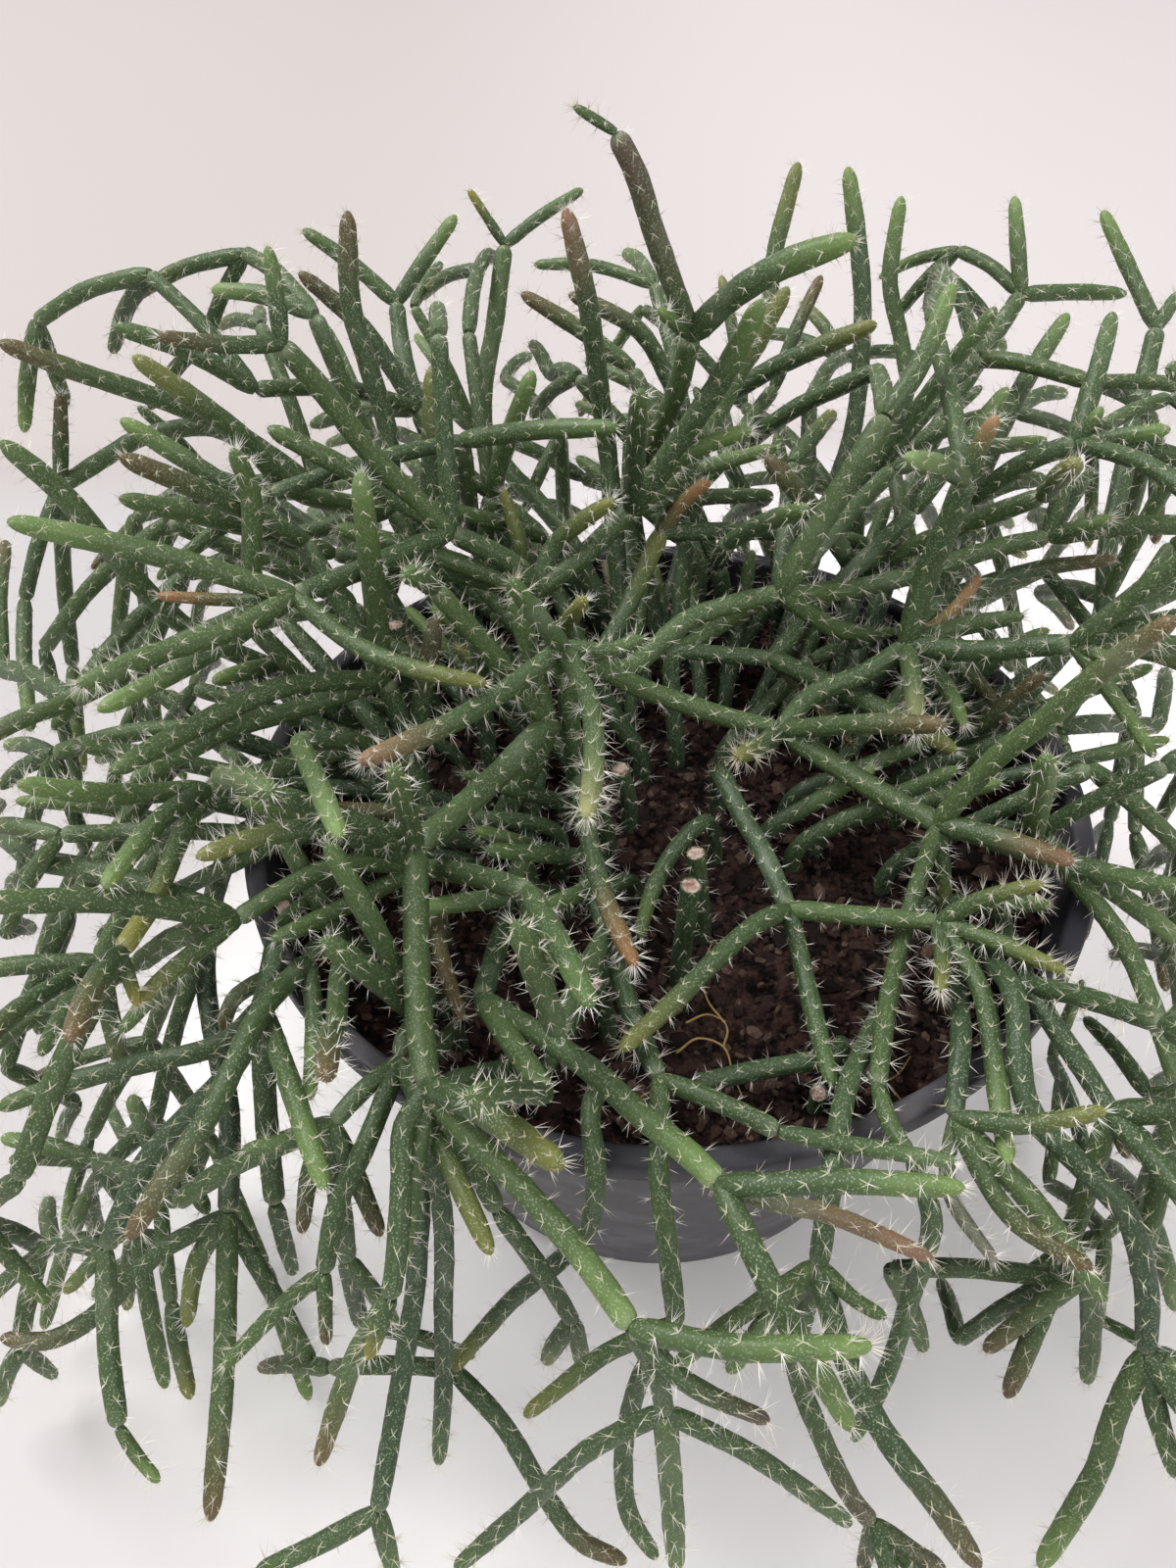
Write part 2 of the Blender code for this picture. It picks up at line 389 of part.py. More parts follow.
def seen_place(pixel_x, pixel_y, distance):
    """The place that shows at a pixel, at a distance from the eye."""
    right = (pixel_x - PICTURE_WIDTH / 2) / FOCAL_PIXELS
    up = (PICTURE_HEIGHT / 2 - pixel_y) / FOCAL_PIXELS
    across = right * math.cos(EYE_ROLL) + up * math.sin(EYE_ROLL)
    rise = up * math.cos(EYE_ROLL) - right * math.sin(EYE_ROLL)
    ray = np.array((
        across,
        math.cos(EYE_PITCH) + rise * math.sin(EYE_PITCH),
        rise * math.cos(EYE_PITCH) - math.sin(EYE_PITCH),
    ))
    return EYE + ray * (distance / math.sqrt(float(ray @ ray)))


def picture_of(places):
    """Pixel x, pixel y and distance from the eye of each place."""
    offset = np.asarray(places) - EYE
    across = offset[:, 0]
    rise = offset[:, 1] * math.sin(EYE_PITCH) + offset[:, 2] * math.cos(EYE_PITCH)
    ahead = offset[:, 1] * math.cos(EYE_PITCH) - offset[:, 2] * math.sin(EYE_PITCH)
    right = across * math.cos(EYE_ROLL) - rise * math.sin(EYE_ROLL)
    up = across * math.sin(EYE_ROLL) + rise * math.cos(EYE_ROLL)
    return (
        PICTURE_WIDTH / 2 + FOCAL_PIXELS * right / ahead,
        PICTURE_HEIGHT / 2 - FOCAL_PIXELS * up / ahead,
        np.sqrt((offset ** 2).sum(axis=1)),
    )


def length_of(vector):
    return math.sqrt(float(vector @ vector))


def smooth_route(places, step):
    """Points about a step apart on a smooth curve through the given places."""
    places = [np.asarray(place, float) for place in places]
    full = [2 * places[0] - places[1]] + places + [2 * places[-1] - places[-2]]
    route = [places[0]]
    for before, start, end, after in zip(full, full[1:], full[2:], full[3:]):
        span = length_of(end - start)
        leave = (end - before) / (span + length_of(start - before)) * span
        arrive = (after - start) / (span + length_of(after - end)) * span
        count = max(1, int(round(span / step)))
        for number in range(1, count + 1):
            t = number / count
            route.append(
                (2 * t ** 3 - 3 * t ** 2 + 1) * start
                + (t ** 3 - 2 * t ** 2 + t) * leave
                + (3 * t ** 2 - 2 * t ** 3) * end
                + (t ** 3 - t ** 2) * arrive
            )
    return route


class Plant:
    """Points and the stems that run through them. A stem starts on a point of the stem it grows from."""

    def __init__(self):
        self.points = []
        self.give = []
        self.stems = []
        self.number = {}
        self.cuttings = 0

    def add_point(self, place, give):
        self.points.append(np.asarray(place, float))
        self.give.append(give)
        return len(self.points) - 1

    def add_stem(self, name, parent, at, thickness, route, give):
        """A stem along a route, whose first place is its root or the branching point it grows from."""
        if parent is None:
            x, y = route[0][:2]
            chain = [
                self.add_point((x, y, SOIL_TOP - ROOT_DEPTH), 0.0),
                self.add_point((x, y, SOIL_TOP + COLLAR), 0.0),
            ]
            cutting = self.cuttings
            self.cuttings += 1
        else:
            chain = [self.stems[parent]["chain"][at]]
            cutting = self.stems[parent]["cutting"]
        chain += [self.add_point(place, give) for place in route[1:]]
        self.number[name] = len(self.stems)
        self.stems.append({
            "name": name,
            "chain": chain,
            "cutting": cutting,
            "radius": thickness / 2000,
            "parent": parent,
        })

    def route(self, stem):
        return [self.points[index] for index in stem["chain"]]


def add_traced_stems(plant):
    """The stems along the traced routes."""
    for name, start, thickness, places in TRACED:
        route = [seen_place(*place) for place in places]
        if isinstance(start, str):
            parent = plant.number[start]
            root = plant.points[plant.stems[parent]["chain"][-1]]
        else:
            parent = None
            root = np.array((start[0], start[1], SOIL_TOP + COLLAR))
            route = over_rim(root, route)
        plant.add_stem(name, parent, -1, thickness, smooth_route([root] + route, SPAN_STEP), 0.5)


def over_rim(root, route):
    """A rooted stem that leaves the pot first passes a place above the rim."""
    inside = math.hypot(root[0], root[1])
    outside = math.hypot(route[0][0], route[0][1])
    if outside < RIM_RADIUS - LIP_HEIGHT:
        return route
    share = min(max((RIM_RADIUS - LIP - inside) / (outside - inside), 0.25), 0.9)
    crossing = root + (route[0] - root) * share
    crossing[2] = max(POT_HEIGHT + RIM_CROSSING, crossing[2])
    return [crossing] + route


def along(route):
    """Closely spaced places on a route."""
    places = []
    for start, end in zip(route, route[1:]):
        places += [start + (end - start) * share for share in (0.0, 0.25, 0.5, 0.75, 1.0)]
    return places


def in_outline(x, y, outline):
    """True where a pixel lies inside an outline of pixels."""
    inside = False
    for (x1, y1), (x2, y2) in zip(outline, outline[1:] + outline[:1]):
        if (y1 > y) != (y2 > y) and x < x1 + (x2 - x1) * (y - y1) / (y2 - y1):
            inside = not inside
    return inside


def drooping(start, direction, length, droop):
    """The places of a stem that sets off in a direction and bends down under its weight."""
    heading = direction / length_of(direction)
    route = [start]
    for _ in range(GROWN_LINKS):
        heading = heading - np.array((0.0, 0.0, droop / GROWN_LINKS))
        heading = heading / length_of(heading)
        route.append(route[-1] + heading * (length / GROWN_LINKS))
    return route


def room_around(route, crowd, shown):
    """How far a new stem would keep from the others, or 0 where it may not go."""
    ends = np.array(route[1:])
    middles = (np.array(route[1:]) + np.array(route[:-1])) / 2
    places = np.vstack((ends, middles))
    out = np.hypot(places[:, 0], places[:, 1])
    high = places[:, 2]
    if high.min() < CLEAR_OF_TABLE or high.max() > PLANT_TOP or out.max() > PLANT_RADIUS:
        return 0.0
    above_soil = (high > SOIL_TOP + CLEAR_OF_RIM) & (out < RIM_RADIUS - LIP - WALL - CLEAR_OF_TABLE)
    if ((high < POT_HEIGHT + CLEAR_OF_RIM) & (out < RIM_RADIUS + CLEAR_OF_RIM) & ~above_soil).any():
        return 0.0
    pixel_x, pixel_y, distance = picture_of(places)
    for x, y, place in zip(pixel_x, pixel_y, places):
        if 0 < x < PICTURE_WIDTH and (y < SKYLINE or OPEN_TABLE < y < PICTURE_HEIGHT):
            return 0.0
        if place[1] < WINDOW_DEPTH and in_outline(x, y, SOIL_WINDOW):
            return 0.0
    shown_x, shown_y, shown_distance = shown
    for x, y, far in zip(pixel_x, pixel_y, distance):
        near = (abs(shown_x - x) < COVER) & (abs(shown_y - y) < COVER)
        if (near & (shown_distance > far + COVER_DEPTH)).any():
            return 0.0
    tested = np.vstack((ends[1:], middles[1:]))
    apart = np.sqrt(((crowd[None] - tested[:, None]) ** 2).sum(axis=2))
    if apart.min() < LEAST_ROOM:
        return 0.0
    return float(apart.min(axis=1).mean())


def gap_filled(route, crowd):
    """How much of a gap between the stems in the picture a new stem would fill, from 0 to 1."""
    crowd_x, crowd_y, _ = picture_of(crowd)
    gain = []
    for x, y in zip(*picture_of(np.array(route[1:]))[:2]):
        if 0 < x < PICTURE_WIDTH and SKYLINE < y < OPEN_TABLE:
            nearest = np.hypot(crowd_x - x, crowd_y - y).min()
            gain.append(min(nearest / WIDE_GAP, 1.0))
        else:
            gain.append(UNSEEN_GAIN)
    return sum(gain) / len(gain)


def grow_hidden_stems(plant):
    """Fill the plant behind and below the traced stems.

    New cuttings stand on the hidden roots. Then every branching end gets more stems in turns. Each is the
    best placed of some random tries that hide no traced stem, and may carry stems of its own.
    """
    draw = random.Random(SEED)
    crowd = []
    shown = []
    for stem in plant.stems:
        route = plant.route(stem)
        rooted = stem["parent"] is None
        crowd += along(route[1:] if rooted else route)
        if not rooted or stem["name"] in SHOWN_ROOTED:
            shown += along(route[2:] if rooted else route)
    crowd = np.array(crowd)
    shown = picture_of(np.array(shown))

    carried = {}
    for stem in plant.stems:
        if stem["parent"] is not None:
            carried[stem["parent"]] = carried.get(stem["parent"], 0) + 1
    ends = []
    for number, stem in enumerate(plant.stems):
        if number in carried and stem["name"] not in FULL_ENDS:
            ends.append((number, -1))
            if stem["parent"] is None and len(stem["chain"]) > 4:
                ends.append((number, len(stem["chain"]) // 2 - len(stem["chain"])))
    order = {}
    grown = 0

    for x, y in HIDDEN_ROOTS:
        collar = np.array((x, y, SOIL_TOP + COLLAR))
        outward = np.array((x, y, 0.0)) / math.hypot(x, y)
        best = None
        most = 0.0
        for _ in range(TRUNK_TRIES):
            lean = outward * draw.uniform(*TRUNK_LEAN)
            sway = [draw.uniform(*TRUNK_SWAY), draw.uniform(*TRUNK_SWAY), draw.uniform(*TRUNK_RISE)]
            route = drooping(collar, lean + np.array(sway), draw.uniform(*TRUNK_LENGTHS), SLIGHT_DROOP)
            room = room_around(route, crowd, shown)
            if room > most:
                best = route
                most = room
        if best is None:
            continue
        plant.add_stem("hidden_%d" % grown, None, 0, TRUNK_THICKNESS, best, 1.0)
        number = len(plant.stems) - 1
        crowd = np.vstack((crowd, along(plant.route(plant.stems[number]))))
        ends.append((number, -1))
        order[number] = 0
        grown += 1

    added = {}
    for _ in range(GROWING_TURNS):
        turn = list(ends)
        draw.shuffle(turn)
        for end in turn:
            number, at = end
            generation = order.get(number, 0)
            have = added.get(end, 0)
            if at == -1 and generation == 0:
                have += carried.get(number, 0)
            if grown >= GROWN_STEMS or have >= BRANCHES[generation]:
                continue
            chain = plant.stems[number]["chain"]
            start = plant.points[chain[at]]
            heading = start - plant.points[chain[at - 1]]
            heading = heading / length_of(heading)
            out = math.hypot(start[0], start[1])
            outward = np.array((start[0], start[1], 0.0)) / out
            best = None
            most = 0.0
            thickness = 0.0
            for _ in range(TRIES):
                wild = np.array((draw.gauss(0, 1), draw.gauss(0, 1), draw.gauss(0, 1)))
                chance = wild / length_of(wild) * CHANCE_SHARE
                direction = heading * AHEAD_SHARE + chance + outward * OUTWARD_SHARE
                direction[2] += RISE_OVER_POT if out < RIM_RADIUS else 0.0
                direction = direction / length_of(direction)
                if direction @ heading < LEAST_FORWARD:
                    continue
                droop = SLIGHT_DROOP if out < RIM_RADIUS else DROOP
                length = draw.uniform(*STEM_LENGTHS)
                across = draw.uniform(*THICKNESSES) - THINNER_EACH_TIME * generation
                route = drooping(start, direction, length, droop)
                room = room_around(route, crowd, shown)
                reach = math.hypot(route[-1][0], route[-1][1])
                if room == 0:
                    continue
                score = min(room, ENOUGH_ROOM) - FAR_OUT_COST * max(reach - FAR_OUT, 0.0)
                score += GAP_GAIN * gap_filled(route, crowd)
                if score > most:
                    best = route
                    most = score
                    thickness = across
            if best is None:
                continue
            plant.add_stem("grown_%d" % grown, number, at, thickness, best, 1.0)
            newest = len(plant.stems) - 1
            crowd = np.vstack((crowd, along(plant.route(plant.stems[newest]))))
            order[newest] = generation + 1
            added[end] = added.get(end, 0) + 1
            if generation + 1 < len(BRANCHES):
                ends.append((newest, -1))
            grown += 1


def nearest_on_links(start_1, end_1, start_2, end_2):
    """Shares along pairs of links at which the two lie nearest to each other."""
    run_1 = end_1 - start_1
    run_2 = end_2 - start_2
    between = start_1 - start_2
    long_1 = (run_1 * run_1).sum(axis=1)
    long_2 = (run_2 * run_2).sum(axis=1)
    cross = (run_1 * run_2).sum(axis=1)
    lead_1 = (run_1 * between).sum(axis=1)
    lead_2 = (run_2 * between).sum(axis=1)
    spread = long_1 * long_2 - cross * cross
    share_1 = np.where(
        spread > 1e-18,
        np.clip((cross * lead_2 - lead_1 * long_2) / np.maximum(spread, 1e-18), 0, 1),
        0.5,
    )
    free = (cross * share_1 + lead_2) / long_2
    share_2 = np.clip(free, 0, 1)
    share_1 = np.where(free != share_2, np.clip((cross * share_2 - lead_1) / long_1, 0, 1), share_1)
    return share_1, share_2


def crowded_pairs(places, start, end, stem_of, stems):
    """Pairs of links within reach of each other that belong to stems which have to keep apart."""
    middle = (places[start] + places[end]) / 2
    half = np.sqrt(((places[start] - places[end]) ** 2).sum(axis=1)) / 2
    sweep = np.argsort(middle[:, 0], kind="stable")
    along_x = middle[sweep, 0]
    first = []
    second = []
    for position, link in enumerate(sweep):
        last = np.searchsorted(along_x, along_x[position] + NEIGHBOUR_REACH + LONGEST_LINK)
        others = sweep[position + 1:last]
        apart = np.sqrt(((middle[others] - middle[link]) ** 2).sum(axis=1)) - half[others] - half[link]
        for other in others[apart < NEIGHBOUR_REACH]:
            one = stems[stem_of[link]]
            two = stems[stem_of[other]]
            kin = (
                one is two
                or one["parent"] == stem_of[other]
                or two["parent"] == stem_of[link]
                or (one["parent"] is not None and one["parent"] == two["parent"])
            )
            if not kin:
                first.append(link)
                second.append(other)
    return np.array(first), np.array(second)


def way_out(places, radius):
    """The move that brings each place clear of the rim, the wall, the soil and the table."""
    move = np.zeros_like(places)
    out = np.hypot(places[:, 0], places[:, 1])
    high = places[:, 2]
    outward = places[:, :2] / np.maximum(out, 1e-9)[:, None]
    clear = radius + BODY_GAP
    beside_lip = high > POT_HEIGHT - LIP_HEIGHT - RIM_CROSSING
    outer = np.where(beside_lip, RIM_RADIUS, wall_radius(high)) + clear
    inner = wall_radius(high) - WALL - clear
    over = POT_HEIGHT + clear
    hit = (high < over) & (out > inner) & (out < outer)
    up = over - high
    away = outer - out
    back = np.where(high < SOIL_TOP, 1.0, out - inner)
    least = np.argmin(np.stack((up, away, back)), axis=0)
    move[:, 2] += np.where(hit & (least == 0), up, 0)
    move[:, :2] += outward * np.where(hit & (least == 1), away, 0)[:, None]
    move[:, :2] -= outward * np.where(hit & (least == 2), back, 0)[:, None]
    sunk = (out < inner) & (high < SOIL_TOP + clear) & ~hit
    move[:, 2] += np.where(sunk, SOIL_TOP + clear - high, 0)
    move[:, 2] += np.where(high < clear, clear - high, 0)
    return move


def ease_apart(plant):
    """Bend the stems clear of each other, keeping their lengths and, as far as they can, their curves."""
    places = np.array(plant.points)
    give = np.array(plant.give)
    start = []
    end = []
    stem_of = []
    corners = []
    for number, stem in enumerate(plant.stems):
        chain = stem["chain"]
        start += chain[:-1]
        end += chain[1:]
        stem_of += [number] * (len(chain) - 1)
        corners += list(zip(chain, chain[1:], chain[2:]))
    start = np.array(start)
    end = np.array(end)
    stem_of = np.array(stem_of)
    radius = np.array([plant.stems[number]["radius"] for number in stem_of])
    before, corner, after = np.array(corners).T
    rest = np.sqrt(((places[start] - places[end]) ** 2).sum(axis=1))
    bend = places[corner] - (places[before] + places[after]) / 2
    loose = give[start] + give[end]
    moves_start = (give[start] > 0)[:, None]
    moves_end = (give[end] > 0)[:, None]

    for turn in range(EASING_TURNS):
        if turn % 10 == 0:
            one, two = crowded_pairs(places, start, end, stem_of, plant.stems)
        share_1, share_2 = nearest_on_links(
            places[start[one]], places[end[one]], places[start[two]], places[end[two]])
        near_1 = places[start[one]] + (places[end[one]] - places[start[one]]) * share_1[:, None]
        near_2 = places[start[two]] + (places[end[two]] - places[start[two]]) * share_2[:, None]
        between = near_2 - near_1
        apart = np.sqrt((between ** 2).sum(axis=1))
        lack = radius[one] + radius[two] + STEM_GAP - apart
        tight = lack > 0
        a = one[tight]
        b = two[tight]
        normal = between[tight] / np.maximum(apart[tight], 1e-7)[:, None]
        share_1 = share_1[tight]
        share_2 = share_2[tight]
        weights = (
            (1 - share_1) * give[start[a]], share_1 * give[end[a]],
            (1 - share_2) * give[start[b]], share_2 * give[end[b]],
        )
        total = (
            (1 - share_1) * weights[0] + share_1 * weights[1]
            + (1 - share_2) * weights[2] + share_2 * weights[3]
        )
        push = np.where(total > 1e-6, lack[tight] / np.maximum(total, 1e-6), 0)
        push = np.minimum(push, LONGEST_PUSH / np.maximum(np.max(weights, axis=0), 1e-6))
        move = np.zeros_like(places)
        pushes = np.zeros(len(places))
        sides = ((start[a], -1), (end[a], -1), (start[b], 1), (end[b], 1))
        for (index, sign), weight in zip(sides, weights):
            np.add.at(move, index, sign * normal * (weight * push)[:, None])
            np.add.at(pushes, index, 1)
        places += move / np.maximum(np.sqrt(pushes), 1)[:, None]

        for _ in range(2):
            run = places[end] - places[start]
            long = np.sqrt((run ** 2).sum(axis=1))
            mend = (long - rest) / np.maximum(long, 1e-9) / np.maximum(loose, 1e-6) * 0.5
            np.add.at(places, start, run * (mend * give[start])[:, None])
            np.add.at(places, end, -run * (mend * give[end])[:, None])

        pull = (bend - places[corner] + (places[before] + places[after]) / 2) * BEND_MEMORY
        np.add.at(places, corner, pull * give[corner][:, None])
        np.add.at(places, before, -pull * 0.5 * give[before][:, None])
        np.add.at(places, after, -pull * 0.5 * give[after][:, None])

        for share in (0.0, 0.25, 0.5, 0.75, 1.0):
            clear = way_out(places[start] * (1 - share) + places[end] * share, radius) * 0.5
            np.add.at(places, start, clear * min(1.0, 2 - 2 * share) * moves_start)
            np.add.at(places, end, clear * min(1.0, 2 * share) * moves_end)
    plant.points = list(np.round(places, 5))


def straightened(route):
    """Which places of a route to keep, when those on a straight run are left out."""
    kept = [0]
    while kept[-1] < len(route) - 1:
        first = kept[-1]
        last = len(route) - 1
        while last > first + 1:
            run = route[last] - route[first]
            run = run / length_of(run)
            offsets = [route[k] - route[first] for k in range(first + 1, last)]
            if all(length_of(offset - run * (offset @ run)) < STRAIGHT_ENOUGH for offset in offsets):
                break
            last -= 1
        kept.append(last)
    return kept


def strands_of(plant, cutting):
    """The runs of a cutting: each stem goes on into the one that turns least, and the others branch off."""
    members = [number for number, stem in enumerate(plant.stems) if stem["cutting"] == cutting]
    carried = {number: [] for number in members}
    for number in members:
        stem = plant.stems[number]
        parent = stem["parent"]
        if parent is not None and stem["chain"][0] == plant.stems[parent]["chain"][-1]:
            carried[parent].append(number)
    follows = {}
    for number in members:
        chain = plant.stems[number]["chain"]
        heading = plant.points[chain[-1]] - plant.points[chain[-2]]
        heading = heading / length_of(heading)
        least = LEAST_ONWARD
        for other in carried[number]:
            onward = plant.route(plant.stems[other])
            turn = (onward[1] - onward[0]) / length_of(onward[1] - onward[0])
            if turn @ heading > least:
                least = turn @ heading
                follows[number] = other
    strands = []
    for number in members:
        if number in follows.values():
            continue
        stem = plant.stems[number]
        route = plant.route(stem)
        thick = [stem["radius"]] * len(route)
        rooted = stem["parent"] is None
        while number in follows:
            number = follows[number]
            stem = plant.stems[number]
            route += plant.route(stem)[1:]
            thick += [stem["radius"]] * (len(stem["chain"]) - 1)
        cut = stem["name"].startswith("cut")
        ends_here = not carried[number] and not cut
        strands.append((route, thick, rooted, ends_here))
    return strands


def clear_scene():
    for old in list(bpy.data.objects):
        bpy.data.objects.remove(old, do_unlink=True)


def new_collection(name):
    collection = bpy.data.collections.new(name)
    bpy.context.scene.collection.children.link(collection)
    return collection


def paint(obj, colour, roughness):
    """Give an object a plain material of its own."""
    material = bpy.data.materials.new(obj.name)
    material.use_nodes = True
    shader = material.node_tree.nodes["Principled BSDF"]
    shader.inputs["Base Color"].default_value = (*colour, 1.0)
    shader.inputs["Roughness"].default_value = roughness
    material.diffuse_color = (*colour, 1.0)
    obj.data.materials.clear()
    obj.data.materials.append(material)


def evaluated_mesh(obj):
    """The object's mesh with its modifiers applied."""
    bpy.context.view_layer.update()
    graph = bpy.context.evaluated_depsgraph_get()
    return bpy.data.meshes.new_from_object(obj.evaluated_get(graph), depsgraph=graph)


def combine(obj, collection, operation):
    """Join an object with every solid of a collection, or take them out of it, and remove those solids."""
    modifier = obj.modifiers.new("combine", "BOOLEAN")
    modifier.operation = operation
    modifier.solver = "EXACT"
    modifier.operand_type = "COLLECTION"
    modifier.collection = collection
    mesh = evaluated_mesh(obj)
    obj.modifiers.clear()
    obj.data = mesh
    for used in list(collection.objects):
        bpy.data.objects.remove(used, do_unlink=True)


def turned(name, profile, collection):
    """A solid turned from a closed profile of radius and height that runs down its outer side first."""
    corners = [(radius, 0.0, height) for radius, height in profile]
    edges = []
    for k, corner in enumerate(corners):
        following = (k + 1) % len(corners)
        if corner[0] > 0 or corners[following][0] > 0:
            edges.append((k, following))
    mesh = bpy.data.meshes.new(name)
    mesh.from_pydata(corners, edges, [])
    obj = bpy.data.objects.new(name, mesh)
    collection.objects.link(obj)
    screw = obj.modifiers.new("turn", "SCREW")
    screw.axis = "Z"
    screw.steps = POT_SIDES
    screw.render_steps = POT_SIDES
    screw.use_merge_vertices = True
    screw.merge_threshold = 0.00005
    mesh = evaluated_mesh(obj)
    obj.modifiers.clear()
    obj.data = mesh
    return obj


def make_cutter(obj, collection):
    """Put a solid among the cutters, out of the render."""
    for holder in list(obj.users_collection):
        holder.objects.unlink(obj)
    collection.objects.link(obj)
    obj.hide_render = True
    obj.display_type = "WIRE"


def build_pot(parts, cutters):
    """The pot: a lip round the rim, a thin tapered wall, a foot that steps in, and slots in the base."""
    lip_under = POT_HEIGHT - LIP_HEIGHT
    wall_top = RIM_RADIUS - LIP
    step = float(wall_radius(FOOT_STEP_HEIGHT))
    foot = FOOT_RADIUS - FOOT_STEP
    corner = float(wall_radius(BASE_THICKNESS)) - WALL - FOOT_STEP
    pot = turned("pot", (
        (RIM_RADIUS - EDGE, POT_HEIGHT),
        (RIM_RADIUS, POT_HEIGHT - EDGE),
        (RIM_RADIUS, lip_under + EDGE),
        (RIM_RADIUS - EDGE, lip_under),
        (wall_top, lip_under),
        (step, FOOT_STEP_HEIGHT),
        (step - FOOT_STEP, FOOT_STEP_HEIGHT - EDGE),
        (foot, EDGE),
        (foot - EDGE, 0.0),
        (0.0, 0.0),
        (0.0, BASE_THICKNESS),
        (corner - BEVEL, BASE_THICKNESS),
        (corner, BASE_THICKNESS + BEVEL),
        (wall_top - WALL, lip_under),
        (wall_top - WALL, POT_HEIGHT - EDGE),
        (wall_top - WALL + EDGE, POT_HEIGHT),
    ), parts)
    for number in range(SLOTS):
        angle = 2 * math.pi * (number + 0.5) / SLOTS
        bpy.ops.mesh.primitive_cube_add(size=1.0)
        slot = bpy.context.object
        slot.scale = (SLOT_LENGTH, SLOT_WIDTH, 3 * BASE_THICKNESS)
        slot.location = (SLOT_RADIUS * math.cos(angle), SLOT_RADIUS * math.sin(angle), BASE_THICKNESS / 2)
        slot.rotation_euler = (0.0, 0.0, angle)
        make_cutter(slot, cutters)
    combine(pot, cutters, "DIFFERENCE")
    paint(pot, (0.095, 0.088, 0.103), 0.55)


def build_soil(parts, cutters, plant):
    """The soil that fills the pot nearly to the rim, with a plain hole for each cutting's lower end."""
    lip_under = POT_HEIGHT - LIP_HEIGHT
    corner = float(wall_radius(BASE_THICKNESS)) - WALL - FOOT_STEP
    share = (SOIL_TOP - BASE_THICKNESS - BEVEL) / (lip_under - BASE_THICKNESS - BEVEL)
    inside_top = corner + (RIM_RADIUS - LIP - WALL - corner) * share
    soil = turned("soil", (
        (inside_top - FIT, SOIL_TOP),
        (corner - FIT, BASE_THICKNESS + BEVEL),
        (corner - BEVEL, BASE_THICKNESS + FIT),
        (0.0, BASE_THICKNESS + FIT),
        (0.0, SOIL_TOP),
    ), parts)
    for stem in plant.stems:
        if stem["parent"] is not None:
            continue
        root = plant.points[stem["chain"][0]]
        depth = ROOT_DEPTH + FIT
        bpy.ops.mesh.primitive_cylinder_add(
            vertices=HOLE_SIDES,
            radius=(stem["radius"] + FIT) / math.cos(math.pi / HOLE_SIDES),
            depth=2 * depth,
            location=(root[0], root[1], SOIL_TOP),
        )
        make_cutter(bpy.context.object, cutters)
    combine(soil, cutters, "DIFFERENCE")
    paint(soil, (0.052, 0.030, 0.023), 0.95)


def section_ring(guides):
    """The outline that is swept along every stem, one metre in radius before it is scaled."""
    curve = bpy.data.curves.new("section", "CURVE")
    curve.dimensions = "2D"
    spline = curve.splines.new("POLY")
    spline.points.add(SECTION_SIDES - 1)
    for number, point in enumerate(spline.points):
        angle = 2 * math.pi * number / SECTION_SIDES
        point.co = (math.cos(angle), math.sin(angle), 0.0, 1.0)
    spline.use_cyclic_u = True
    ring = bpy.data.objects.new("section", curve)
    guides.objects.link(ring)
    ring.hide_render = True
    ring.display_type = "WIRE"
    return ring


def swept(name, route, thick, ring, collection):
    """A closed tube along a route, with a radius at each place."""
    curve = bpy.data.curves.new(name, "CURVE")
    curve.dimensions = "3D"
    curve.bevel_mode = "OBJECT"
    curve.bevel_object = ring
    curve.use_fill_caps = True
    spline = curve.splines.new("POLY")
    spline.points.add(len(route) - 1)
    for point, place, radius in zip(spline.points, route, thick):
        point.co = (*place, 1.0)
        point.radius = radius
    path = bpy.data.objects.new(name, curve)
    collection.objects.link(path)
    mesh = evaluated_mesh(path)
    shape = bmesh.new()
    shape.from_mesh(mesh)
    bmesh.ops.remove_doubles(shape, verts=shape.verts, dist=0.000001)
    bmesh.ops.recalc_face_normals(shape, faces=shape.faces)
    shape.to_mesh(mesh)
    shape.free()
    tube = bpy.data.objects.new(name, mesh)
    tube.matrix_world = path.matrix_world
    collection.objects.link(tube)
    bpy.data.objects.remove(path, do_unlink=True)
    return tube


def build_cutting(plant, cutting, ring, parts, joined):
    """One rooted cutting as a single body: its main run of stem and every run that branches off."""
    first = next(stem for stem in plant.stems if stem["cutting"] == cutting)
    kind = "stub_" if first["name"].startswith("cut") else "cutting_"
    name = kind + first["name"].removeprefix("cut_")
    trunk = None
    for route, thick, rooted, growing in strands_of(plant, cutting):
        kept = [0] + [k + 1 for k in straightened(route[1:])] if rooted else straightened(route)
        places = [route[k] for k in kept]
        radii = [thick[k] for k in kept]
        if growing:
            radii[-1] *= TIP_TAPER
        if not rooted:
            heading = places[1] - places[0]
            places[0] = places[0] - heading / length_of(heading) * radii[0] * ROOT_SINK
            radii[0] *= BRANCH_WAIST
        tube = swept(name, places, radii, ring, parts if rooted else joined)
        if rooted:
            trunk = tube
    if joined.objects:
        combine(trunk, joined, "UNION")
    trunk.name = name
    paint(trunk, (0.045, 0.092, 0.045), 0.6)


def build():
    clear_scene()
    parts = new_collection("mistletoe_cactus")
    guides = new_collection("guides")
    cutters = new_collection("cutters")
    joined = new_collection("joined")
    plant = Plant()
    add_traced_stems(plant)
    grow_hidden_stems(plant)
    ease_apart(plant)
    build_pot(parts, cutters)
    build_soil(parts, cutters, plant)
    ring = section_ring(guides)
    for cutting in range(plant.cuttings):
        build_cutting(plant, cutting, ring, parts, joined)


build()
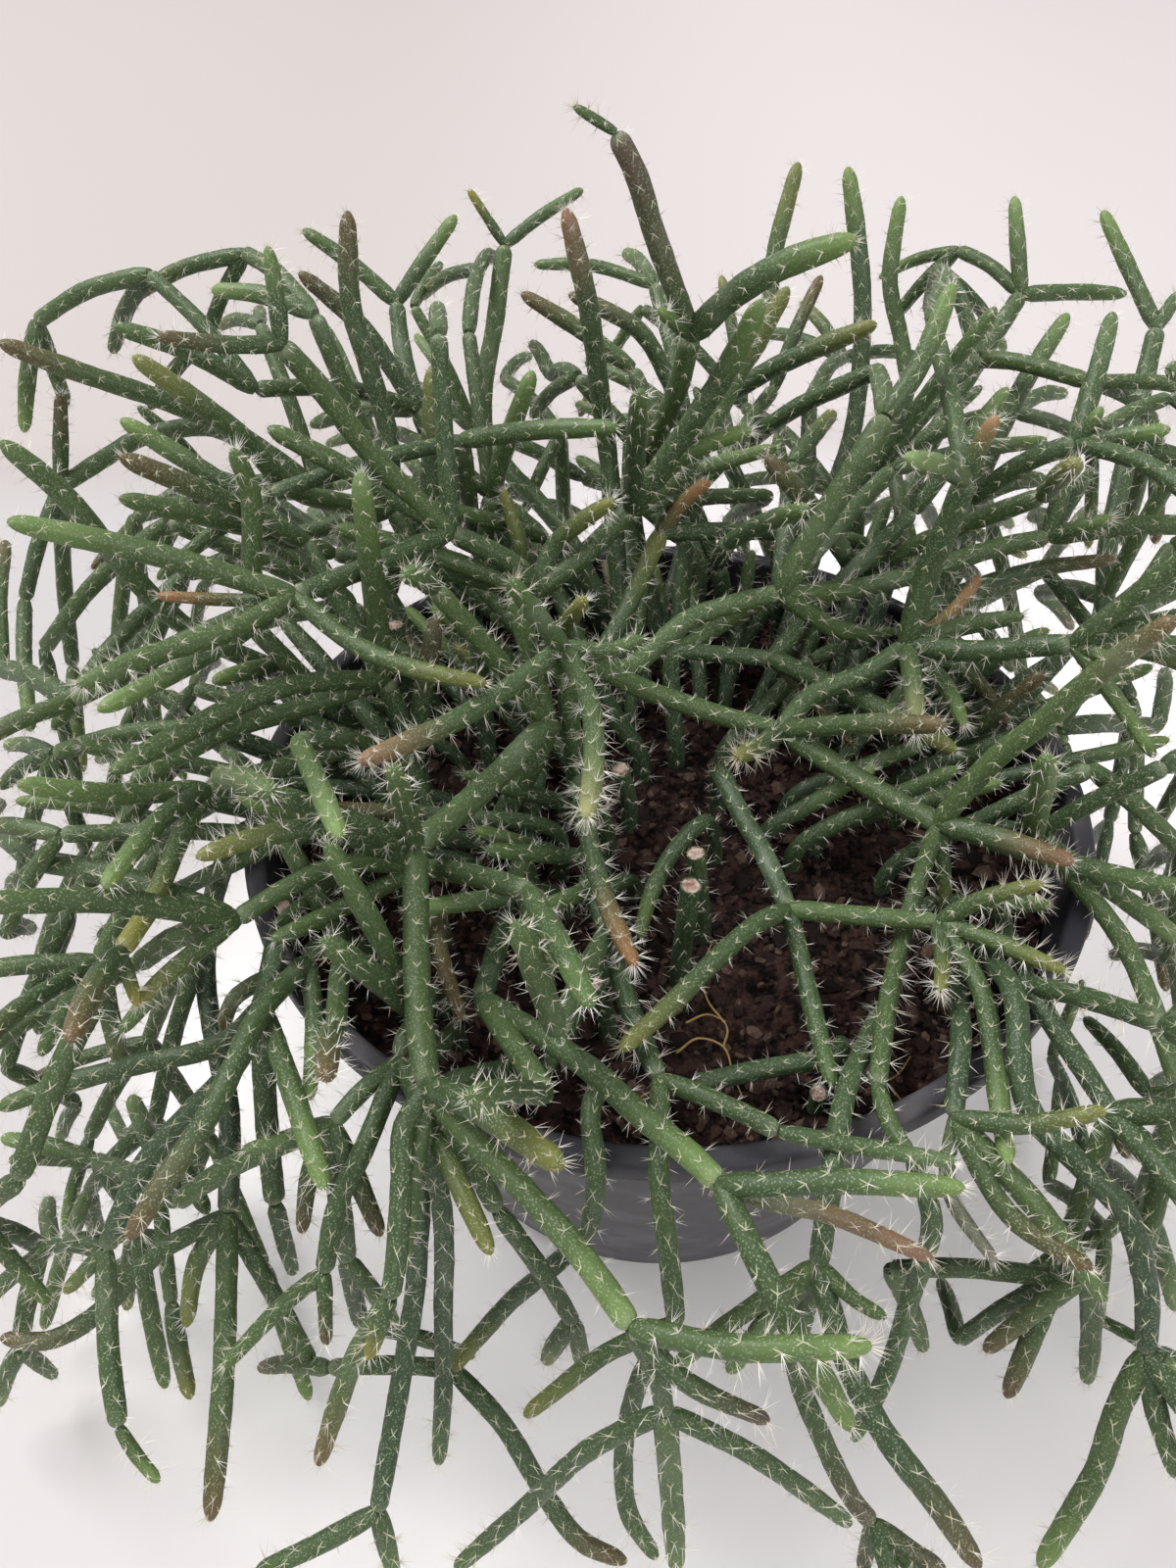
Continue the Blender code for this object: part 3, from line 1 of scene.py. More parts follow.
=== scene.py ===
"""A mistletoe cactus in a round plastic nursery pot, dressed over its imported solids.

The stems grow here by the same routes and the same rule as in the part's source, so each dressed stem
lies where its solid is. Lengths are in metres, with +Z up and the pot's base on z = 0.
"""
import json
import math
import random

import bmesh
import bpy
import numpy as np
from mathutils import Matrix, Vector, noise

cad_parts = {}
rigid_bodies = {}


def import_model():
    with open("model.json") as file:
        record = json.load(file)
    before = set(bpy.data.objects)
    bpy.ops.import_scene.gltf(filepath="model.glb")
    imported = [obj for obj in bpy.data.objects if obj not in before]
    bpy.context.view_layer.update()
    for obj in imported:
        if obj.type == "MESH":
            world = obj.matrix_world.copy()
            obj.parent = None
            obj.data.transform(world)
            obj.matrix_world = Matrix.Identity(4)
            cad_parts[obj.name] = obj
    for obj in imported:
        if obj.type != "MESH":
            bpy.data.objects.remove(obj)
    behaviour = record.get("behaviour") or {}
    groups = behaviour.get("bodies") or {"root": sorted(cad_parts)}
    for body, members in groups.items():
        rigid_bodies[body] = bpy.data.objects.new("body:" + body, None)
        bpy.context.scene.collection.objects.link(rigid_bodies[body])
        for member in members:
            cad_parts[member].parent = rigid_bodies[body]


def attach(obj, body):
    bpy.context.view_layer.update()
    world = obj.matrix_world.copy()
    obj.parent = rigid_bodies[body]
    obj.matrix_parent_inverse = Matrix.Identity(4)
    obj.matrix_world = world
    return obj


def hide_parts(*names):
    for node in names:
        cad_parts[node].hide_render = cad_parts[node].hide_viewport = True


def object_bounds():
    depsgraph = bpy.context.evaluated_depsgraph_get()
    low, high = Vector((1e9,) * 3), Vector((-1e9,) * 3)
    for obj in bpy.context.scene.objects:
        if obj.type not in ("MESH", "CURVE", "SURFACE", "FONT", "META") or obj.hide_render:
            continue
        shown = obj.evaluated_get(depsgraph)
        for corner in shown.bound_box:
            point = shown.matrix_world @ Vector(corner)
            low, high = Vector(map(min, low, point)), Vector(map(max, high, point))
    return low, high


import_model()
cad_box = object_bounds()


def srgb(red, green, blue):
    """A colour as it is seen on a screen, 0 to 255, in the linear numbers that a shader takes."""
    seen = [part / 255 for part in (red, green, blue)]
    return tuple(part / 12.92 if part <= 0.04045 else ((part + 0.055) / 1.055) ** 2.4 for part in seen)


def new_piece(name, data):
    """A new object of the given mesh, lamp or lens, in the scene."""
    piece = bpy.data.objects.new(name, data)
    bpy.context.scene.collection.objects.link(piece)
    return piece


# The camera stands where the routes were traced from: above and in front of the pot, looking down at it
# with a slight roll. A 28 mm lens on a 36 mm frame gives the photo's field of view.
eye_place = (-0.0156, -0.1764, 0.2865)
pitch = math.radians(45.35)
roll = math.radians(1.1)
ahead = Vector((0.0, math.cos(pitch), -math.sin(pitch)))
rise = Vector((0.0, math.sin(pitch), math.cos(pitch)))
across = Vector((1.0, 0.0, 0.0))
right = across * math.cos(roll) - rise * math.sin(roll)
up = across * math.sin(roll) + rise * math.cos(roll)
lens = bpy.data.cameras.new("camera")
lens.sensor_width = 36.0
lens.lens = 28.125
lens.clip_start = 0.01
camera = new_piece("camera", lens)
camera.matrix_world = Matrix((
    (right.x, up.x, -ahead.x, eye_place[0]),
    (right.y, up.y, -ahead.y, eye_place[1]),
    (right.z, up.z, -ahead.z, eye_place[2]),
    (0.0, 0.0, 0.0, 1.0),
))
bpy.context.scene.camera = camera


class Nodes:
    """Adds nodes to a shader tree. Each call sets the node's options and inputs and gives back a socket."""

    def __init__(self, tree):
        self.tree = tree

    def add(self, kind, inputs=None, **options):
        node = self.tree.nodes.new("ShaderNode" + kind)
        for option, value in options.items():
            setattr(node, option, value)
        for key, value in (inputs or {}).items():
            self.put(value, node.inputs[key])
        return node

    def put(self, value, socket):
        if isinstance(value, bpy.types.NodeSocket):
            self.tree.links.new(value, socket)
        else:
            socket.default_value = value

    def maths(self, operation, *values):
        node = self.add("Math", operation=operation)
        for socket, value in zip(node.inputs, values):
            self.put(value, socket)
        return node.outputs[0]

    def between(self, value, low, high, out_low=0.0, out_high=1.0):
        """A value eased from one range into another and held there."""
        inputs = {"Value": value, "From Min": low, "From Max": high, "To Min": out_low, "To Max": out_high}
        return self.add("MapRange", inputs, interpolation_type="SMOOTHSTEP").outputs["Result"]

    def mix(self, share, first, second):
        node = self.add("Mix", data_type="RGBA")
        for socket, value in ((node.inputs[0], share), (node.inputs[6], first), (node.inputs[7], second)):
            if isinstance(value, tuple) and len(value) == 3:
                value = (*value, 1.0)
            self.put(value, socket)
        return node.outputs[2]

    def noise(self, place, scale, detail=3.0, rough=0.55):
        inputs = {"Vector": place, "Scale": scale, "Detail": detail, "Roughness": rough}
        return self.add("TexNoise", inputs).outputs["Fac"]

    def cells(self, place, scale):
        return self.add("TexVoronoi", {"Vector": place, "Scale": scale}).outputs["Distance"]

    def bump(self, height, depth, strength=1.0):
        inputs = {"Height": height, "Distance": depth, "Strength": strength}
        return self.add("Bump", inputs).outputs["Normal"]


def new_material(name, roughness, specular=0.5):
    """A material with its shader, its node helper and the place on the object, in metres."""
    material = bpy.data.materials.new(name)
    material.use_nodes = True
    nodes = Nodes(material.node_tree)
    shader = material.node_tree.nodes["Principled BSDF"]
    shader.inputs["Roughness"].default_value = roughness
    shader.inputs["Specular IOR Level"].default_value = specular
    place = nodes.add("TexCoord").outputs["Object"]
    return material, nodes, shader, place


def grain_group():
    """Fine grain of a surface: pale specks in cells, a height for them, and a slow mottling."""
    group = bpy.data.node_groups.new("grain", "ShaderNodeTree")
    group.interface.new_socket("Place", in_out="INPUT", socket_type="NodeSocketVector")
    for key, many in (("Specks per metre", 4000.0), ("Mottles per metre", 120.0)):
        socket = group.interface.new_socket(key, in_out="INPUT", socket_type="NodeSocketFloat")
        socket.default_value = many
    for key in ("Specks", "Height", "Mottle"):
        group.interface.new_socket(key, in_out="OUTPUT", socket_type="NodeSocketFloat")
    nodes = Nodes(group)
    given = group.nodes.new("NodeGroupInput").outputs
    result = group.nodes.new("NodeGroupOutput").inputs
    far = nodes.cells(given["Place"], given["Specks per metre"])
    patch = nodes.noise(given["Place"], given["Mottles per metre"], 4.0)
    dense = nodes.between(far, 0.42, 0.16)
    specks = nodes.maths("MULTIPLY", dense, nodes.between(patch, 0.35, 0.65, 0.4, 1.0))
    nodes.put(specks, result["Specks"])
    nodes.put(nodes.maths("SUBTRACT", 1.0, far), result["Height"])
    nodes.put(patch, result["Mottle"])
    return group


def use_group(nodes, group, **inputs):
    """A group's outputs, with its inputs set by their names with underscores for spaces."""
    node = nodes.add("Group", node_tree=group)
    for key, value in inputs.items():
        nodes.put(value, node.inputs[key.replace("_", " ")])
    return node.outputs


grain = grain_group()

# Light comes soft from a wide window high on the left and behind, as in the photo, with a weaker wide fill
# from the front and right. The surroundings are a pale grey.
world = bpy.data.worlds.new("room")
world.use_nodes = True
world.node_tree.nodes["Background"].inputs["Color"].default_value = (0.92, 0.90, 0.90, 1.0)
world.node_tree.nodes["Background"].inputs["Strength"].default_value = 0.74
bpy.context.scene.world = world
bpy.context.scene.view_settings.view_transform = "Standard"


def area_light(name, place, target, size, power, colour):
    lamp = bpy.data.lights.new(name, "AREA")
    lamp.shape = "DISK"
    lamp.size = size
    lamp.energy = power
    lamp.color = colour
    light = new_piece(name, lamp)
    light.location = place
    light.rotation_euler = (Vector(target) - Vector(place)).to_track_quat("-Z", "Y").to_euler()


area_light("window", (-1.5, 0.75, 2.8), (0.0, 0.0, 0.08), 2.0, 98.0, (1.0, 0.99, 0.98))
area_light("fill", (1.5, -2.0, 2.1), (0.0, 0.0, 0.08), 2.2, 38.0, (1.0, 0.99, 0.985))

# The floor is one flat pale sheet. A soft, slightly turned edge 0.32 m behind the pot's centre divides the
# white table in front from the warmer wall tone behind, as in the photo. Each tone is painted paler on the
# right than on the left, away from the window, as a painted light gradient, and near the plant the sheet is
# painted palest, a painted pool of light that lightens the plant's shadow. A band of painted shade darkens
# the sheet at the edge.
# Painted light: each tone's right colour is paler than its left, a painted light gradient across the sheet.
table_left = srgb(184, 181, 182)
table_right = srgb(204, 201, 202)
# Painted light: near the plant the sheet is painted paler than further out, and palest under the plant, a
# painted pool of light that lightens the plant's shadow.
near_left = srgb(196, 193, 193)
near_right = srgb(246, 242, 242)
painted_light_under_plant = srgb(252, 250, 250)
wall_left = srgb(182, 176, 174)
wall_right = srgb(199, 194, 194)
edge_y = 0.322
edge_turn = math.radians(2.6)
# Painted shade: the colour of a darker band on the flat sheet at the edge where the wall meets the table.
painted_shade_colour = srgb(166, 159, 157)
cloud_colour = srgb(160, 154, 154)

# Over what reach each tone turns into the next, in metres: from left to right along the painted light
# gradient, outward from the pot's centre across the painted pool of light, and before and after the edge.
# Then how strong the painted shade at the edge and the clouding are.
side_reach = 0.22
painted_light_under_reach = (0.11, 0.16)
painted_light_near_reach = (0.15, 0.36)
edge_reach = (0.03, 0.015)
painted_shade_reach = (0.05, 0.03)
painted_shade_share = 0.30
cloud_share = 0.06

# The sheet itself, 6 m wide, and its material
sheet = 3.0
mesh = bpy.data.meshes.new("table")
corners = [(-sheet, -sheet, 0.0), (sheet, -sheet, 0.0), (sheet, sheet, 0.0), (-sheet, sheet, 0.0)]
mesh.from_pydata(corners, [], [(0, 1, 2, 3)])
table = new_piece("table", mesh)
paper, nodes, shader, place = new_material("paper_white", 0.8, 0.1)
turned_place = nodes.add("Mapping", {"Vector": place, "Rotation": (0.0, 0.0, -edge_turn)}).outputs["Vector"]
back = nodes.add("SeparateXYZ", {"Vector": turned_place}).outputs["Y"]
away = nodes.add("VectorMath", {0: place}, operation="LENGTH").outputs["Value"]
# Painted light gradient: the tones are blended from the darker left to the paler right.
painted_light_rightward = nodes.between(nodes.add("SeparateXYZ", {"Vector": place}).outputs["X"], -side_reach, side_reach)
painted_light_near_tone = nodes.mix(painted_light_rightward, near_left, near_right)
table_tone = nodes.mix(painted_light_rightward, table_left, table_right)
# Painted pool of light: the sheet is painted palest under and near the plant, lightening its shadow.
painted_light_near_tone = nodes.mix(nodes.between(away, *painted_light_under_reach), painted_light_under_plant, painted_light_near_tone)
tone = nodes.mix(nodes.between(away, *painted_light_near_reach), painted_light_near_tone, table_tone)
wall_tone = nodes.mix(painted_light_rightward, wall_left, wall_right)
behind_edge = nodes.between(back, edge_y - edge_reach[0], edge_y + edge_reach[1])
tone = nodes.mix(behind_edge, tone, wall_tone)
# Painted shade: a darker band on the flat sheet, peaking at the edge where the wall meets the table.
before_edge = nodes.between(back, edge_y - painted_shade_reach[0], edge_y)
painted_shade_band = nodes.maths("MULTIPLY", before_edge, nodes.between(back, edge_y + painted_shade_reach[1], edge_y))
tone = nodes.mix(nodes.maths("MULTIPLY", painted_shade_band, painted_shade_share), tone, painted_shade_colour)
cloud = nodes.noise(place, 3.0, 2.0)
tone = nodes.mix(nodes.maths("MULTIPLY", cloud, cloud_share), tone, cloud_colour)
nodes.put(tone, shader.inputs["Base Color"])
mesh.materials.append(paper)


# How the stems grow. These sizes, routes and steps are the part's own, so that the stems lie on their
# solids: the pot and soil they keep clear of, the eye the routes were traced from, and the rule. The
# pot's come first.
RIM_RADIUS = 0.085
POT_HEIGHT = 0.108
FOOT_RADIUS = 0.055
LIP = 0.0025
LIP_HEIGHT = 0.005
WALL = 0.0018
BASE_THICKNESS = 0.0022
FOOT_STEP = 0.0014
FOOT_STEP_HEIGHT = 0.0095
SLOT_WIDTH = 0.0034
SLOT_LENGTH = 0.013
SLOT_RADIUS = 0.036
SLOTS = 6
EDGE = 0.0008
BEVEL = 0.0014

# The soil, the lower ends of the stems, the clearance between neighbours and the step along a route
SOIL_TOP = 0.095
ROOT_DEPTH = 0.011
COLLAR = 0.005
FIT = 0.0004
STEM_GAP = 0.0007
BODY_GAP = 0.0008
SPAN_STEP = 0.012

# The stems that grow by the rule, with their thickness in millimetres, how many each generation carries
# and the space that they stay in
GROWN_STEMS = 214
GROWN_LINKS = 2
SEED = 11
STEM_LENGTHS = (0.028, 0.048)
TRUNK_LENGTHS = (0.026, 0.044)
TRUNK_THICKNESS = 4.3
THICKNESSES = (3.5, 4.3)
THINNER_EACH_TIME = 0.15
BRANCHES = (6, 5, 4, 2)
TRIES = 26
TRUNK_TRIES = 60
GROWING_TURNS = 16
LEAST_ROOM = 0.0054
CLEAR_OF_TABLE = 0.006
CLEAR_OF_RIM = 0.004
PLANT_RADIUS = 0.168
PLANT_TOP = 0.184

# Which way a grown stem sets off: the shares of its parent's heading, of chance and of the way outward,
# the least it may go forward, and how far it bends down
AHEAD_SHARE = 0.6
CHANCE_SHARE = 0.9
OUTWARD_SHARE = 0.2
RISE_OVER_POT = 0.2
LEAST_FORWARD = 0.25
TRUNK_LEAN = (-0.2, 0.8)
TRUNK_SWAY = (-0.4, 0.4)
TRUNK_RISE = (0.9, 1.6)
SLIGHT_DROOP = 0.2
DROOP = 0.5

# How a grown stem's place is scored: room around it counts up to enough, reach past far out costs, and
# it gains where it fills a gap between the stems in the picture, as wide as a wide gap in pixels
ENOUGH_ROOM = 0.016
FAR_OUT = 0.10
FAR_OUT_COST = 0.06
WIDE_GAP = 40.0
GAP_GAIN = 0.010
UNSEEN_GAIN = 0.3

# Easing the stems apart
EASING_TURNS = 260
NEIGHBOUR_REACH = 0.012
LONGEST_LINK = 0.025
BEND_MEMORY = 0.175
LONGEST_PUSH = 0.004
RIM_CROSSING = 0.007

# The traced routes were seen from the camera's place, in a picture of this size
EYE = np.array(eye_place)
EYE_PITCH = pitch
EYE_ROLL = roll
FOCAL_PIXELS = 1250.0
PICTURE_WIDTH = 1200
PICTURE_HEIGHT = 1600

# Where the view past the stems stays open, in picture pixels: onto the soil, onto the table in front of
# the plant and above its skyline. No grown stem comes before a traced one closer than the cover.
SOIL_WINDOW = (
    (690, 850), (850, 860), (1000, 770), (1060, 880), (1000, 1010), (930, 1150),
    (730, 1170), (560, 1150), (600, 1040), (690, 960),
)
WINDOW_DEPTH = 0.015
OPEN_TABLE = 1240
SKYLINE = 255
COVER = 12
COVER_DEPTH = 0.003

# Roots of the cuttings that the traced stems hide
HIDDEN_ROOTS = (
    (-0.012, 0.060), (0.020, 0.052), (-0.043, 0.052), (0.046, 0.049), (-0.057, 0.038),
    (0.036, 0.020), (0.050, 0.006), (-0.066, 0.008),
)

# The traced stems. Each line has the stem's name, what it grows from, its thickness in millimetres and
# the places it passes: pixel x, pixel y and the distance from the eye. It grows from the end of another
# stem, or from a root at x and y on the soil. A stem with a name that starts with cut ends in a cut.
def read_routes(text):
    """The name, start, thickness and places of each stem, from a line of text for each."""
    routes = []
    for line in text.strip().splitlines():
        name, start, thickness, *places = line.split()
        if "," in start:
            start = tuple(float(part) for part in start.split(","))
        places = [tuple(float(part) for part in place.split(",")) for place in places]
        routes.append((name, start, float(thickness), places))
    return routes


